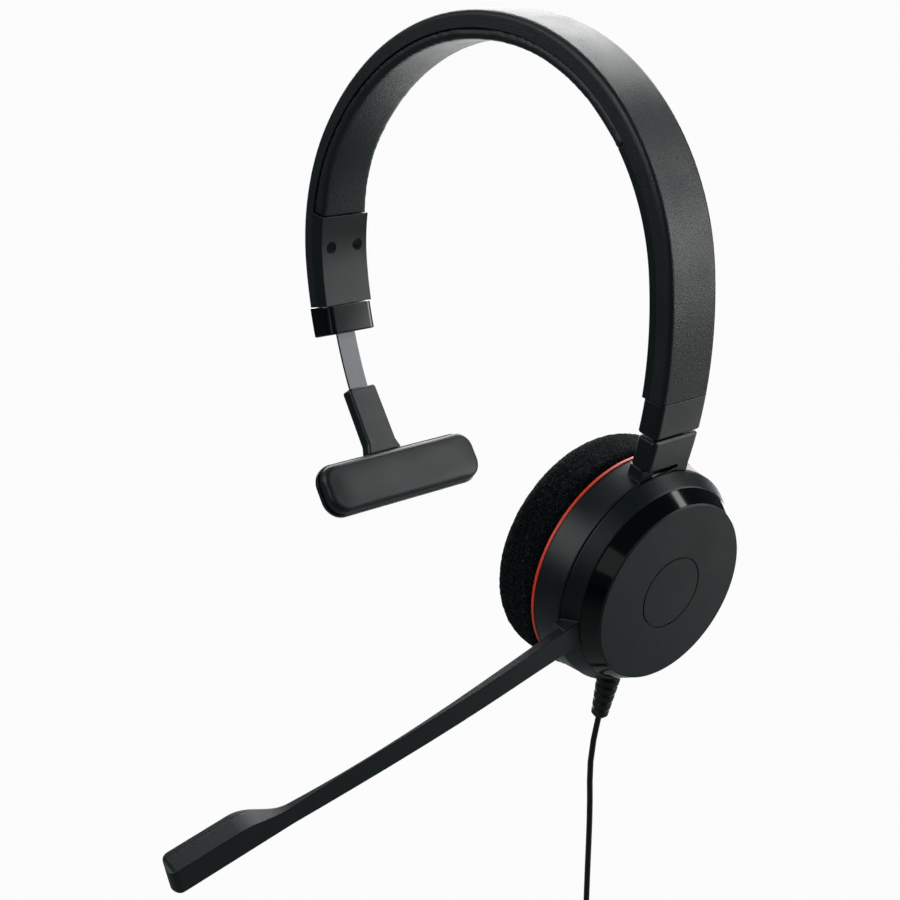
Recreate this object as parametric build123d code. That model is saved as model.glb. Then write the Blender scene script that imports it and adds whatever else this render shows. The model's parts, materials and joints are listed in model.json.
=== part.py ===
"""Single-sided office headset: headband, sliding T-bar, ear cup with turning boom, and its cord.

Frame: +X towards the ear cup, -Y towards the wearer's face, +Z up. The origin is the middle of the
crown's underside, where the band rests on the head. Lengths are millimetres, angles are degrees.
"""
import os
from math import cos, degrees, pi, radians, sin, tan

from build123d import *

os.makedirs("parts", exist_ok=True)

# ---- Headband line: the outer face, as tangent arcs from the ear-cup side over the crown
CROWN_RADIUS = 80.9
CUP_SHOULDER_RADIUS = 64.1
BAR_SHOULDER_RADIUS = 62.0
SIDE_RADIUS = 116.7
CUP_SIDE_ENDS = 6.4            # outward normal where each arc hands over, from +X
CUP_SHOULDER_ENDS = 79.0
CROWN_ENDS = 143.3
BAR_SHOULDER_ENDS = 185.1
CUP_SEAM = -8.6                # where the cover stops above the cup
CUP_GAP = -13.1                # foot of the band end on the cup side
PAD_START = 36.4               # crown pad, cup side
PAD_STOP = 168.7               # crown pad, T-bar side
BAR_SEAM = 191.3               # top of the gloss end cap
BAR_FOOT = 195.9               # foot of the gloss end cap

# ---- Headband section
BAND_WIDTH = 16.7
SKIN = 2.0                     # outer wall of the cover
COVER_DEPTH = 4.4              # depth of the cover's side walls
SIDE_WALL = 2.1
PAD_DEPTH = 7.2                # inner face of the crown pad below the outer face
TRIM_DEPTH = 6.4               # inner face of the trim above the cup
BLOCK_DEPTH = 9.4              # inner face of the T-bar side block
EDGE_ROUND = 1.4
SPRING_THICK = 0.8
CHANNEL_PLAY = 0.1
SPRING_START = 9.0
SPRING_STOP = 166.0
SEAM_GAP = 0.15
PAD_FLARE = 0.25               # share of the pad's thickening at the middle of its flare
PAD_STEP = 0.4                 # pad's end below the block's inner face

# ---- T-bar side
BAR_STRIP_DEPTH = 4.9          # middle of the steel strip below the outer face
BAR_STRIP_WIDTH = 6.6
STRIP_THICK = 0.8
STRIP_PLAY = 0.12
BAR_SHOWN = 17.5               # strip length in view at rest
BAR_OUT_TRAVEL = 12.0
BAR_IN_TRAVEL = 16.5
BAR_KEPT = 11.0                # strip length that stays in the band when drawn out
END_CAP_PROUD = 0.5
END_CAP_SIDE = 0.3             # cap's side beyond the band's
END_CAP_CORNER = 2.2
END_CAP_EDGE = 0.5
SCREW_PITCH = 9.6
SCREW_ANGLE = 179.0
SCREW_HEAD_RADIUS = 1.5
SCREW_SHANK_RADIUS = 0.8
SCREW_HEAD_THICK = 1.0
SCREW_SHANK_LENGTH = 2.4
SCREW_PLAY = 0.1
CROSS_WIDTH = 0.4              # drive cross of every screw
CROSS_LENGTH = 1.7
CROSS_DEPTH = 0.4
COUNTERBORE_RADIUS = 1.75
COUNTERBORE_DEPTH = 2.0
BLOCK_BORE = 4.7               # foot of the clearance hole below the block's face
ARM_THICK = 4.2
ARM_TOP_WIDTH = 10.2
ARM_FOOT_WIDTH = 10.6
ARM_LEAN = 32.6                # lean of the T-bar arm from vertical
ARM_KNEE = 5.6                 # strip length bedded in the arm
ARM_CORNER = 1.0
ARM_EDGE = 0.8
ARM_FLARE = 3.0                # stretch over which the arm widens into the T-bar
ARM_FLARE_OUT = 1.0
ARM_TAIL = 2.0                 # arm's foot beyond the T-bar's middle
ARM_BED_PLAY = 0.1
BAR_CENTRE_ALONG = 29.2        # middle of the T-bar below the knee
BAR_PLATE_BACK = -0.5          # rear of the back plate, from the arm's mid-plane
BAR_PAD_LENGTH = 58.5
BAR_SHIFT = 2.2                # T-bar's middle to the rear of the arm's
BAR_PAD_HEIGHT = 16.2
BAR_PAD_CORNER = 6.0
BAR_PLATE_THICK = 1.9
BAR_PLATE_EDGE = 1.0
BAR_PAD_THICK = 3.5
BAR_PAD_INSET = 0.4            # pad's edge inside the plate's edge
BAR_PAD_EDGE = 1.3

# ---- Cup side slider
NECK_THICK = 5.8
NECK_OFFSET = 0.1              # neck's middle below the strip's
NECK_EDGE = 0.5
NECK_STRIP_BED = 4.0           # strip length bedded in the neck
NECK_INSET = 0.25              # neck's side inside the band's
END_PIECE_THICK = 6.2
NECK_STRIP_DEPTH = 2.75
NECK_STRIP_WIDTH = 9.6
NECK_STRIP_KEPT = 14.0         # strip length that stays in the band when the cup is drawn down
NECK_TOP_GAP = 0.7
NECK_LENGTH = 7.9
CUP_TRAVEL = 20.0
TONGUE_THICK = 2.2
TONGUE_WIDTH = 8.0
TONGUE_PLAY = 0.2
TONGUE_FOOT = 0.2              # tongue's end below the pin
COLLAR_PLAY = 0.15
COLLAR_FOOT = 2.6              # collar's end below the pin
COLLAR_ROUND = 0.9
EYE_WALL = 1.0                 # wall of the tongue's eye round the pin
EYE_PLAY = 0.1
SLOT_FOOT = 3.4                # slot's end below the pin
PIVOT_BELOW_NECK = 4.4         # pin below the neck's foot
PIVOT_PIN_RADIUS = 1.0
PIVOT_PIN_LENGTH = 13.0
PIN_RUNNING_PLAY = 0.05
PIN_SEAT_PLAY = 0.02
CUP_TILT_RANGE = 6.0           # each way from rest

# ---- Ear cup, measured from the cap's face inwards along the cup's axis
CUP_LEAN = 9.19                # axis below level
CUP_TURN = -2.21               # axis towards the wearer's face
PIVOT_DEPTH = 11.4
PIVOT_ABOVE_AXIS = 27.3
CAP_FACE_RADIUS = 24.0
CAP_FOOT_RADIUS = 26.5
CAP_DEPTH = 4.3
CAP_WALL = 1.6
BADGE_RADIUS = 9.57
CAP_EDGE = 0.35
BADGE_GROOVE = 0.4
BADGE_DEPTH = 0.35
SPIGOT_PLAY = 0.05
SPIGOT_WALL = 1.2
SPIGOT_REACH = 2.2             # spigot's end below the cap's foot
CAP_SCREW_ANGLES = (30, 150, 270)
CAP_SCREW_CIRCLE = 15.5
CAP_SCREW_RADIUS = 0.85
CAP_SCREW_HEAD_RADIUS = 1.9
CAP_SCREW_HEAD_THICK = 1.2
CAP_SCREW_SHANK_LENGTH = 4.4
CAP_SCREW_BITE = 3.0           # depth of the screw's hole in the boss
CAP_SCREW_PLAY = 0.05
FLOOR_HOLE_RADIUS = 1.1
CAP_BOSS_RADIUS = 2.2
LEAD_HOLE_RADIUS = 2.0         # hole in the floor for the boom's leads
LEAD_HOLE_AT = 9.0
RING_FRONT_RADIUS = 26.75
RING_BACK_RADIUS = 29.1
RING_BACK = 8.75
RING_GAP = 0.2
HUB_RADIUS = 22.0
HUB_WALL = 1.6
RING_PLAY = 0.05
RING_EDGE = 0.25
SHOULDER_EDGE = 0.3
WASHER_WIDTH = 3.1
WASHER_PLAY = 0.02
HOUSING_BACK = 17.0
HOUSING_BACK_RADIUS = 30.0
HOUSING_WALL = 1.6
FLOOR_THICK = 1.6
ACCENT_THICK = 0.85
ACCENT_RADIUS = 30.2
CUSHION_THICK = 15.2
CUSHION_RADIUS = 31.0
CUSHION_HOLE_RADIUS = 11.5
CUSHION_ROUND = 6.0
CUSHION_SEAT_ROUND = 2.2
CUSHION_HOLE_ROUND = 4.0
BAFFLE_THICK = 1.5
BAFFLE_PLAY = 0.15
SOUND_HOLE_RADIUS = 0.9
SOUND_RINGS = ((1, 0.0), (6, 4.2), (12, 8.2))    # holes and radius of each ring
DRIVER_RADIUS = 14.0
DRIVER_WALL = 1.2
DRIVER_HEIGHT = 2.0
DRIVER_SHOULDER = 1.0          # basket's inner edge outside the magnet
DRIVER_RISE = 0.6              # basket's inner edge above its rim
MAGNET_RADIUS = 8.0
MAGNET_THICK = 2.6
MAGNET_LIFT = 3.6
MAGNET_HOLE_RADIUS = 2.2
FILM_THICK = 0.2
FILM_LIFT = 0.25
FILM_CROWN = 0.5
FILM_DOME = ((5.0, 0.35), (9.0, 0.0))            # radius and height of the dome's turns
MESH_THICK = 0.4
MESH_INSET = 0.5
BOARD_SIZE = (14.0, 8.0, 0.8)
BOARD_BELOW_AXIS = 19.0
BOARD_LIFT = 2.2
CUSHION_RING_PLAY = 0.7         # cushion ring inside the baffle's edge
ACCENT_PLAY = 0.1

# ---- Boom: length along it is measured from the cup's axis
BOOM_ANGLE = 76.3              # from straight down, towards the face
BOOM_ROOT = 31.0
BOOM_TIP = 138.0
BOOM_HEAD_LENGTH = 29.0
BOOM_HEAD_RISE = 12.0          # stretch over which the blade swells into the head
BOOM_TIP_ROUND = 2.0
BOOM_TIP_SLANT = 1.5           # inner side of the tip behind its outer side
BOOM_THICK = 1.65
BOOM_BEND = 22 / 75            # where the blade's taper slackens, as a share from shoulder to head
BOOM_HALVES = (3.6, 3.3, 3.0, 2.3)   # half width at the ring, root, bend and thin end
BOOM_ROOT_DEPTH = 2.2
BOOM_ROOT_WIDTH = 7.2
BOOM_BOW = 3.45                # depth of the blade's outer face at mid length
MIC_OUTER = 3.9                # depth of the microphone head's outer face
MIC_THICK = 6.0
MIC_UPPER = 4.1                # head's edge above the blade's line
MIC_LOWER = 2.2                # head's edge below it
MIC_PORT_RADIUS = 0.4
MIC_PORT_PITCH = 2.0
MIC_PORTS = 4
MIC_OFFSET = 0.9               # ports and capsule above the blade's line
MIC_COVER_THICK = 1.3
MIC_FROM_TIP = 8.0
MIC_CAPSULE_RADIUS = 1.5
MIC_CAPSULE_LENGTH = 2.6
MIC_PLAY = 0.05
BOOM_DOWN = 26.0               # travel below the drawn angle
BOOM_UP = 244.0                # travel above it, over the top
STOP_ANGLE = 5.5               # middle of the stop lug, from straight down
STOP_WIDTH = 8.0               # degrees that the stop lug covers
STOP_PLAY = 0.6                # degrees
STOP_INNER = 25.6
STOP_OUTER = 27.0
STOP_HEIGHT = 1.0
STOP_CLEARANCE = 0.15

# ---- Cord
CORD_DIAMETER = 1.6
RELIEF_ANGLE = 5.5             # from straight down, towards the face
RELIEF_DEPTH = 12.6
RELIEF_ROOT_RADIUS = 3.3
RELIEF_TIP_RADIUS = 2.2
RELIEF_END = 43.6              # tip, from the cup's axis
RELIEF_NECK_RADIUS = 2.4
RELIEF_GROOVE = 0.55
RELIEF_GROOVES = 5
RELIEF_BED = 1.4               # relief's root below the housing's wall
RELIEF_BORE_REACH = 6.0
RELIEF_PLAY = 0.05
CORD_SWAY = (-2.33, 0.1)       # X and Y from the strain relief to where the cord hangs plumb
CORD_DROP = 70.0               # top of the coil below the strain relief
COIL_RADIUS = 9.6              # middle of the turns
COIL_SECTION = 6.4
COIL_WIDTH = 9.6
TIE_WIDTH = 4.0
TIE_THICK = 0.7
TIE_PLAY = 0.45                # slack of the tie across the turns
TIE_CORNER = 1.2
COIL_EDGE = 0.8
PLUG_DROP = 27.0               # plug's strain relief below the coil's middle
PLUG_RELIEF_LENGTH = 7.0
PLUG_RELIEF_RADII = (2.6, 1.5)
PLUG_BODY_SIZE = (15.0, 7.6, 24.0)
PLUG_BODY_CORNER = 2.0
PLUG_BODY_EDGE = 1.5
PLUG_SHELL_SIZE = (12.0, 4.5, 15.0)
PLUG_SHELL_WALL = 0.3
PLUG_SHELL_BED = 3.0           # shell length inside the grip
PLUG_SHELL_FLOOR = 0.5
PLUG_WINDOW = (2.2, 2.0)
PLUG_WINDOW_BELOW = 3.5
PLUG_WINDOW_AT = 3.0
PLUG_INSERT_SIZE = (11.2, 1.7, 12.0)
PLUG_INSERT_OFFSET = 0.95
PLUG_INSERT_BELOW = 4.2


# ---------------------------------------------------------------- helpers
def polar(angle):
    """Unit direction in the XZ plane, measured from +X towards +Z."""
    return Vector(cos(radians(angle)), 0, sin(radians(angle)))


def arc_chain():
    """The band's arcs as (radius, centre, first normal, last normal), cup side first."""
    crown_centre = Vector(0, 0, PAD_DEPTH - CROWN_RADIUS)
    cup_shoulder = crown_centre + (CROWN_RADIUS - CUP_SHOULDER_RADIUS) * polar(CUP_SHOULDER_ENDS)
    cup_side = cup_shoulder + (CUP_SHOULDER_RADIUS - SIDE_RADIUS) * polar(CUP_SIDE_ENDS)
    bar_shoulder = crown_centre + (CROWN_RADIUS - BAR_SHOULDER_RADIUS) * polar(CROWN_ENDS)
    bar_side = bar_shoulder + (BAR_SHOULDER_RADIUS - SIDE_RADIUS) * polar(BAR_SHOULDER_ENDS)
    return [
        (SIDE_RADIUS, cup_side, -90.0, CUP_SIDE_ENDS),
        (CUP_SHOULDER_RADIUS, cup_shoulder, CUP_SIDE_ENDS, CUP_SHOULDER_ENDS),
        (CROWN_RADIUS, crown_centre, CUP_SHOULDER_ENDS, CROWN_ENDS),
        (BAR_SHOULDER_RADIUS, bar_shoulder, CROWN_ENDS, BAR_SHOULDER_ENDS),
        (SIDE_RADIUS, bar_side, BAR_SHOULDER_ENDS, 270.0),
    ]


ARCS = arc_chain()
CUP_SIDE_CENTRE = ARCS[0][1]
BAR_SIDE_CENTRE = ARCS[-1][1]


def band_point(normal, depth):
    """Point of the band whose outward normal is given, that far below the outer face."""
    for radius, centre, first, last in ARCS:
        if first <= normal <= last:
            return centre + (radius - depth) * polar(normal)
    raise ValueError(f"no band at {normal}")


def band_edges(start, stop, depth):
    """The band's line at one depth between two normals, as arcs."""
    edges = []
    for radius, centre, first, last in ARCS:
        low, high = max(first, start), min(last, stop)
        if high - low < 1e-6:
            continue
        at = [centre + (radius - depth) * polar(a) for a in (low, (low + high) / 2, high)]
        edges.append(ThreePointArc(*at))
    return edges


def band_layer(start, stop, top, bottom, width):
    """A layer of the band between two normals and two depths, centred on the band's width."""
    outer = band_edges(start, stop, top)
    inner = band_edges(start, stop, bottom)
    ends = [
        Line(band_point(start, top), band_point(start, bottom)),
        Line(band_point(stop, top), band_point(stop, bottom)),
    ]
    face = make_face(outer + inner + ends)
    return extrude(face, amount=width / 2, dir=(0, 1, 0), both=True)


def ring_sector(centre, start, stop, inner, outer, width):
    """A sector of a ring about a centre in the XZ plane, extruded along Y."""
    middle = (start + stop) / 2
    outside = ThreePointArc(*[centre + outer * polar(a) for a in (start, middle, stop)])
    inside = ThreePointArc(*[centre + inner * polar(a) for a in (start, middle, stop)])
    sides = [Line(centre + inner * polar(a), centre + outer * polar(a)) for a in (start, stop)]
    face = make_face([outside, inside] + sides)
    return extrude(face, amount=width / 2, dir=(0, 1, 0), both=True)


def arc_degrees(length, radius):
    """Angle that a length subtends on a radius."""
    return degrees(length / radius)


def round_edges(part):
    """The edges of a solid that are arcs or circles."""
    return part.edges().filter_by(GeomType.CIRCLE)


def rim(part, height, radius):
    """The circular edges of a turned solid at one height and radius."""
    level = [e for e in round_edges(part) if abs(e.center().Z - height) < 0.01]
    return [e for e in level if abs(e.radius - radius) < 0.01]


def turned(points):
    """A solid turned about local Z from (radius, height) points."""
    outline = Polyline(*[(r, 0, z) for r, z in points], close=True)
    return revolve(make_face(outline), Axis.Z, 360)


def disc(radius, top, thick, hole=0.0):
    """A disc below a depth, with an optional centre hole. Depths grow inwards, along -Z."""
    solid = Pos(0, 0, -top - thick / 2) * Cylinder(radius, thick)
    if hole:
        solid -= Pos(0, 0, -top - thick / 2) * Cylinder(hole, thick * 2)
    return solid


# ---------------------------------------------------------------- cup frame
NECK_RADIUS = SIDE_RADIUS - NECK_STRIP_DEPTH
NECK_WIDTH = BAND_WIDTH - 2 * NECK_INSET
COLLAR_GAP = NECK_THICK / 2 * sin(radians(CUP_TILT_RANGE)) + COLLAR_PLAY
NECK_TOP = CUP_GAP - arc_degrees(NECK_TOP_GAP, NECK_RADIUS)
NECK_FOOT = NECK_TOP - arc_degrees(NECK_LENGTH, NECK_RADIUS)
PIVOT_NORMAL = NECK_FOOT - arc_degrees(PIVOT_BELOW_NECK, NECK_RADIUS)
PIVOT = CUP_SIDE_CENTRE + NECK_RADIUS * polar(PIVOT_NORMAL)

CUP_AXIS = Vector(
    cos(radians(CUP_LEAN)) * cos(radians(CUP_TURN)),
    cos(radians(CUP_LEAN)) * sin(radians(CUP_TURN)),
    -sin(radians(CUP_LEAN)),
)
CUP_REAR = Vector(-sin(radians(CUP_TURN)), cos(radians(CUP_TURN)), 0)
CUP_UP = CUP_AXIS.cross(CUP_REAR)
CUP_CENTRE = PIVOT - CUP_UP * PIVOT_ABOVE_AXIS + CUP_AXIS * PIVOT_DEPTH
CUP_PLANE = Plane(origin=CUP_CENTRE, x_dir=CUP_REAR, z_dir=CUP_AXIS)
TO_CUP = CUP_PLANE.location


def spoke_plane(angle, depth):
    """Plane whose X runs out along a radius of the cup, angle from straight down to the face."""
    out = -CUP_UP * cos(radians(angle)) - CUP_REAR * sin(radians(angle))
    return Plane(origin=CUP_CENTRE - CUP_AXIS * depth, x_dir=out, z_dir=CUP_AXIS)


# ---------------------------------------------------------------- headband
def band_cover():
    """Soft-touch outer cover: a channel that wraps the outer face and both sides."""
    body = band_layer(CUP_SEAM, BAR_SEAM, 0, COVER_DEPTH, BAND_WIDTH)
    outer = [e for e in round_edges(body) if any(abs(e.radius - r) < 0.01 for r, *_ in ARCS)]
    body = fillet(outer, EDGE_ROUND)
    channel = band_layer(CUP_SEAM - 1, BAR_SEAM + 1, SKIN, COVER_DEPTH + 1, BAND_WIDTH - 2 * SIDE_WALL)
    return body - channel


CHANNEL_WIDTH = BAND_WIDTH - 2 * SIDE_WALL - 2 * CHANNEL_PLAY


def band_spring():
    """Spring-steel strip that closes the band on the head."""
    return band_layer(SPRING_START, SPRING_STOP, SKIN, SKIN + SPRING_THICK, CHANNEL_WIDTH)


def pad_carrier():
    """Plastic strip under the spring that the crown pad is bonded to, notched for the slider."""
    return band_layer(PAD_START, PAD_STOP, SKIN + SPRING_THICK, COVER_DEPTH, CHANNEL_WIDTH) - bar_slot()


def crown_pad():
    """Soft lining of the crown, thicker towards the T-bar side block."""
    start = PAD_START + arc_degrees(SEAM_GAP, CUP_SHOULDER_RADIUS)
    stop = PAD_STOP - arc_degrees(SEAM_GAP, BAR_SHOULDER_RADIUS)
    flare = (CROWN_ENDS + stop) / 2
    inner = band_edges(start, CROWN_ENDS, PAD_DEPTH)
    inner.append(ThreePointArc(
        band_point(CROWN_ENDS, PAD_DEPTH),
        band_point(flare, PAD_DEPTH + PAD_FLARE * (BLOCK_DEPTH - PAD_DEPTH)),
        band_point(stop, BLOCK_DEPTH - PAD_STEP),
    ))
    ends = [
        Line(band_point(start, COVER_DEPTH), band_point(start, PAD_DEPTH)),
        Line(band_point(stop, COVER_DEPTH), band_point(stop, BLOCK_DEPTH - PAD_STEP)),
    ]
    outline = make_face(band_edges(start, stop, COVER_DEPTH) + inner + ends)
    return extrude(outline, amount=BAND_WIDTH / 2, dir=(0, 1, 0), both=True)


def cup_trim():
    """Hard inner trim between the crown pad and the band end, with a rib behind the slider."""
    plate = band_layer(CUP_SEAM, PAD_START, COVER_DEPTH, TRIM_DEPTH, BAND_WIDTH)
    rib_top = NECK_STRIP_DEPTH + STRIP_THICK / 2 + STRIP_PLAY
    rib = band_layer(CUP_SEAM, PAD_START - 0.2, rib_top, COVER_DEPTH, CHANNEL_WIDTH)
    return plate + rib


def bar_block():
    """Hard block on the inner face of the T-bar end, with the slider's slot and two counterbores."""
    plate = band_layer(PAD_STOP, BAR_SEAM, COVER_DEPTH, BLOCK_DEPTH, BAND_WIDTH)
    rib = band_layer(PAD_STOP, BAR_SEAM, SKIN + SPRING_THICK, COVER_DEPTH, CHANNEL_WIDTH)
    body = plate + rib - bar_slot()
    for y in (-SCREW_PITCH / 2, SCREW_PITCH / 2):
        body -= screw_bore(y)
    return body


def bar_slot():
    """Curved slot that the T-bar's steel strip slides in."""
    middle = SIDE_RADIUS - BAR_STRIP_DEPTH
    half = STRIP_THICK / 2 + STRIP_PLAY
    reach = arc_degrees(BAR_KEPT + BAR_OUT_TRAVEL + BAR_IN_TRAVEL + 1.0, middle)
    return ring_sector(BAR_SIDE_CENTRE, BAR_FOOT - reach, BAR_FOOT + 1, middle - half, middle + half,
                       BAR_STRIP_WIDTH + 2 * STRIP_PLAY)


def screw_frame(y):
    """Location of a block screw: origin on the block's inner face, Z out of the face."""
    at = band_point(SCREW_ANGLE, BLOCK_DEPTH) + Vector(0, y, 0)
    return Plane(origin=at, x_dir=(0, 1, 0), z_dir=-polar(SCREW_ANGLE)).location


def screw_bore(y):
    """Counterbore and clearance hole of one block screw."""
    head = Pos(0, 0, -COUNTERBORE_DEPTH / 2) * Cylinder(COUNTERBORE_RADIUS, COUNTERBORE_DEPTH)
    shank = Pos(0, 0, -BLOCK_BORE / 2) * Cylinder(SCREW_SHANK_RADIUS + SCREW_PLAY, BLOCK_BORE)
    return screw_frame(y) * (head + shank)


def block_screws():
    """The two cross-head screws that hold the block."""
    top = SCREW_HEAD_THICK - COUNTERBORE_DEPTH
    head = Pos(0, 0, top - SCREW_HEAD_THICK / 2) * Cylinder(SCREW_HEAD_RADIUS, SCREW_HEAD_THICK)
    head -= Pos(0, 0, top) * drive_cross()
    shank = Pos(0, 0, -COUNTERBORE_DEPTH - SCREW_SHANK_LENGTH / 2) * Cylinder(
        SCREW_SHANK_RADIUS, SCREW_SHANK_LENGTH)
    return [screw_frame(y) * (head + shank) for y in (-SCREW_PITCH / 2, SCREW_PITCH / 2)]


def drive_cross():
    """Cross recess of a screw, centred on the head's face."""
    depth = 2 * CROSS_DEPTH
    return Box(CROSS_LENGTH, CROSS_WIDTH, depth) + Box(CROSS_WIDTH, CROSS_LENGTH, depth)


def bar_end_cap():
    """Gloss cap that closes the T-bar end of the band."""
    inner = SIDE_RADIUS - BLOCK_DEPTH - END_CAP_PROUD
    outer = SIDE_RADIUS + END_CAP_PROUD
    gap = arc_degrees(SEAM_GAP, SIDE_RADIUS)
    width = BAND_WIDTH + 2 * END_CAP_SIDE
    body = ring_sector(BAR_SIDE_CENTRE, BAR_SEAM + gap, BAR_FOOT, inner, outer, width)
    body = fillet(round_edges(body), END_CAP_CORNER)
    rims = body.faces().sort_by(Axis.Z)[0].edges()
    body = fillet(rims, END_CAP_EDGE)
    return body - bar_slot()


def bar_strip():
    """Steel strip that carries the T-bar and slides inside the band."""
    middle = SIDE_RADIUS - BAR_STRIP_DEPTH
    start = BAR_FOOT - arc_degrees(BAR_KEPT + BAR_OUT_TRAVEL, middle)
    stop = BAR_FOOT + arc_degrees(BAR_SHOWN + ARM_KNEE, middle)
    return ring_sector(BAR_SIDE_CENTRE, start, stop, middle - STRIP_THICK / 2, middle + STRIP_THICK / 2,
                       BAR_STRIP_WIDTH)


def arm_frame():
    """Plane at the arm's knee: X along the arm, Y along the T-bar, Z out of the head face."""
    middle = SIDE_RADIUS - BAR_STRIP_DEPTH
    knee = BAR_FOOT + arc_degrees(BAR_SHOWN, middle)
    origin = BAR_SIDE_CENTRE + middle * polar(knee)
    along = Vector(sin(radians(ARM_LEAN)), 0, -cos(radians(ARM_LEAN)))
    out = Vector(cos(radians(ARM_LEAN)), 0, sin(radians(ARM_LEAN)))
    return Plane(origin=origin, x_dir=along, z_dir=out)


ARM_PLANE = arm_frame()


def bar_arm():
    """Plastic arm from the steel strip to the T-bar's back plate."""
    top, foot = ARM_TOP_WIDTH / 2, ARM_FOOT_WIDTH / 2
    foot_at = BAR_CENTRE_ALONG - BAR_PAD_HEIGHT / 2
    tail = BAR_CENTRE_ALONG + ARM_TAIL
    wide = foot + ARM_FLARE_OUT
    side = [(0, top), (foot_at - ARM_FLARE, foot), (foot_at, wide), (tail, wide)]
    outline = Polyline(*[(x, -y) for x, y in side], *reversed(side), close=True)
    body = extrude(make_face(outline), amount=ARM_THICK / 2, both=True)
    body = fillet(body.edges().filter_by(Axis.Z), ARM_CORNER)
    faces = body.faces().sort_by(Axis.Z)
    body = fillet(faces[-1].edges() + faces[0].edges(), ARM_EDGE)
    seat = Box(BAR_PAD_HEIGHT + 2 * ARM_BED_PLAY, BAR_PAD_LENGTH, ARM_THICK - 2 * BAR_PLATE_BACK)
    arm = ARM_PLANE.location * (body - Pos(BAR_CENTRE_ALONG, 0, ARM_THICK / 2) * seat)
    return arm - bar_strip()


def bar_layer(inset, back, thick):
    """A rounded plate of the T-bar in the arm's frame, its outline inset by the given margin."""
    outline = RectangleRounded(BAR_PAD_HEIGHT - 2 * inset, BAR_PAD_LENGTH - 2 * inset, BAR_PAD_CORNER - inset)
    return extrude(Pos(BAR_CENTRE_ALONG, BAR_SHIFT, back) * outline, amount=thick)


def bar_plate():
    """Hard back plate of the T-bar."""
    plate = bar_layer(0, BAR_PLATE_BACK, BAR_PLATE_THICK)
    plate = fillet(plate.faces().sort_by(Axis.Z)[0].edges(), BAR_PLATE_EDGE)
    return ARM_PLANE.location * plate


def bar_pad():
    """Soft pad of the T-bar, which rests above the ear."""
    pad = bar_layer(BAR_PAD_INSET, BAR_PLATE_BACK + BAR_PLATE_THICK, BAR_PAD_THICK)
    pad = fillet(pad.faces().sort_by(Axis.Z)[-1].edges(), BAR_PAD_EDGE)
    return ARM_PLANE.location * pad


# ---------------------------------------------------------------- cup side slider
def cup_end_piece():
    """Band end above the cup, with the slot that the neck's strip slides in."""
    gap = arc_degrees(SEAM_GAP, SIDE_RADIUS)
    body = ring_sector(CUP_SIDE_CENTRE, CUP_GAP, CUP_SEAM - gap, SIDE_RADIUS - END_PIECE_THICK,
                       SIDE_RADIUS, BAND_WIDTH)
    body = fillet(round_edges(body), EDGE_ROUND)
    body = fillet(body.faces().sort_by(Axis.Z)[0].edges(), NECK_EDGE)
    half = STRIP_THICK / 2 + STRIP_PLAY
    slot = ring_sector(CUP_SIDE_CENTRE, CUP_GAP - 1, CUP_SEAM + 1, NECK_RADIUS - half, NECK_RADIUS + half,
                       NECK_STRIP_WIDTH + 2 * STRIP_PLAY)
    return body - slot


def neck_strip():
    """Steel strip above the neck, hidden in the band until the cup is drawn down."""
    stop = NECK_TOP + arc_degrees(CUP_TRAVEL + NECK_STRIP_KEPT, NECK_RADIUS)
    start = NECK_TOP - arc_degrees(NECK_STRIP_BED, NECK_RADIUS)
    return ring_sector(CUP_SIDE_CENTRE, start, stop, NECK_RADIUS - STRIP_THICK / 2,
                       NECK_RADIUS + STRIP_THICK / 2, NECK_STRIP_WIDTH)


def neck_block(start, stop, rounding):
    """A rounded stretch of the neck's section, which the neck and the cup's collar share."""
    middle = NECK_RADIUS - NECK_OFFSET
    block = ring_sector(CUP_SIDE_CENTRE, start, stop, middle - NECK_THICK / 2, middle + NECK_THICK / 2,
                        NECK_WIDTH)
    return fillet(round_edges(block), rounding)


def neck_body():
    """Neck that joins the slider to the ear cup, with the tongue that the pin goes through."""
    body = neck_block(NECK_FOOT, NECK_TOP, EDGE_ROUND)
    body = chamfer(body.faces().sort_by(Axis.Z)[-1].edges(), NECK_EDGE)
    tongue_end = PIVOT_NORMAL - arc_degrees(TONGUE_FOOT, NECK_RADIUS)
    tongue = ring_sector(CUP_SIDE_CENTRE, tongue_end, NECK_FOOT + 0.5, NECK_RADIUS - TONGUE_THICK / 2,
                         NECK_RADIUS + TONGUE_THICK / 2, TONGUE_WIDTH)
    eye = Pos(PIVOT) * Rot(90, 0, 0) * Cylinder(PIVOT_PIN_RADIUS + EYE_WALL, TONGUE_WIDTH)
    bore = Pos(PIVOT) * Rot(90, 0, 0) * Cylinder(PIVOT_PIN_RADIUS + PIN_RUNNING_PLAY, 2 * TONGUE_WIDTH)
    return body + tongue + eye - bore - neck_strip()


def pivot_pin():
    """Pin that the cup tilts on."""
    return Pos(PIVOT) * Rot(90, 0, 0) * Cylinder(PIVOT_PIN_RADIUS, PIVOT_PIN_LENGTH)


# ---------------------------------------------------------------- ear cup
CHAMBER_TOP = RING_BACK + RING_GAP + FLOOR_THICK
HOUSING_TOP = RING_BACK + RING_GAP


def housing_radius(depth):
    """Outer radius of the housing at a depth."""
    share = (depth - HOUSING_TOP) / (HOUSING_BACK - HOUSING_TOP)
    return RING_BACK_RADIUS + share * (HOUSING_BACK_RADIUS - RING_BACK_RADIUS)


BAFFLE_TOP = HOUSING_BACK - BAFFLE_THICK
BAFFLE_RADIUS = housing_radius(BAFFLE_TOP) - HOUSING_WALL - BAFFLE_PLAY


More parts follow.
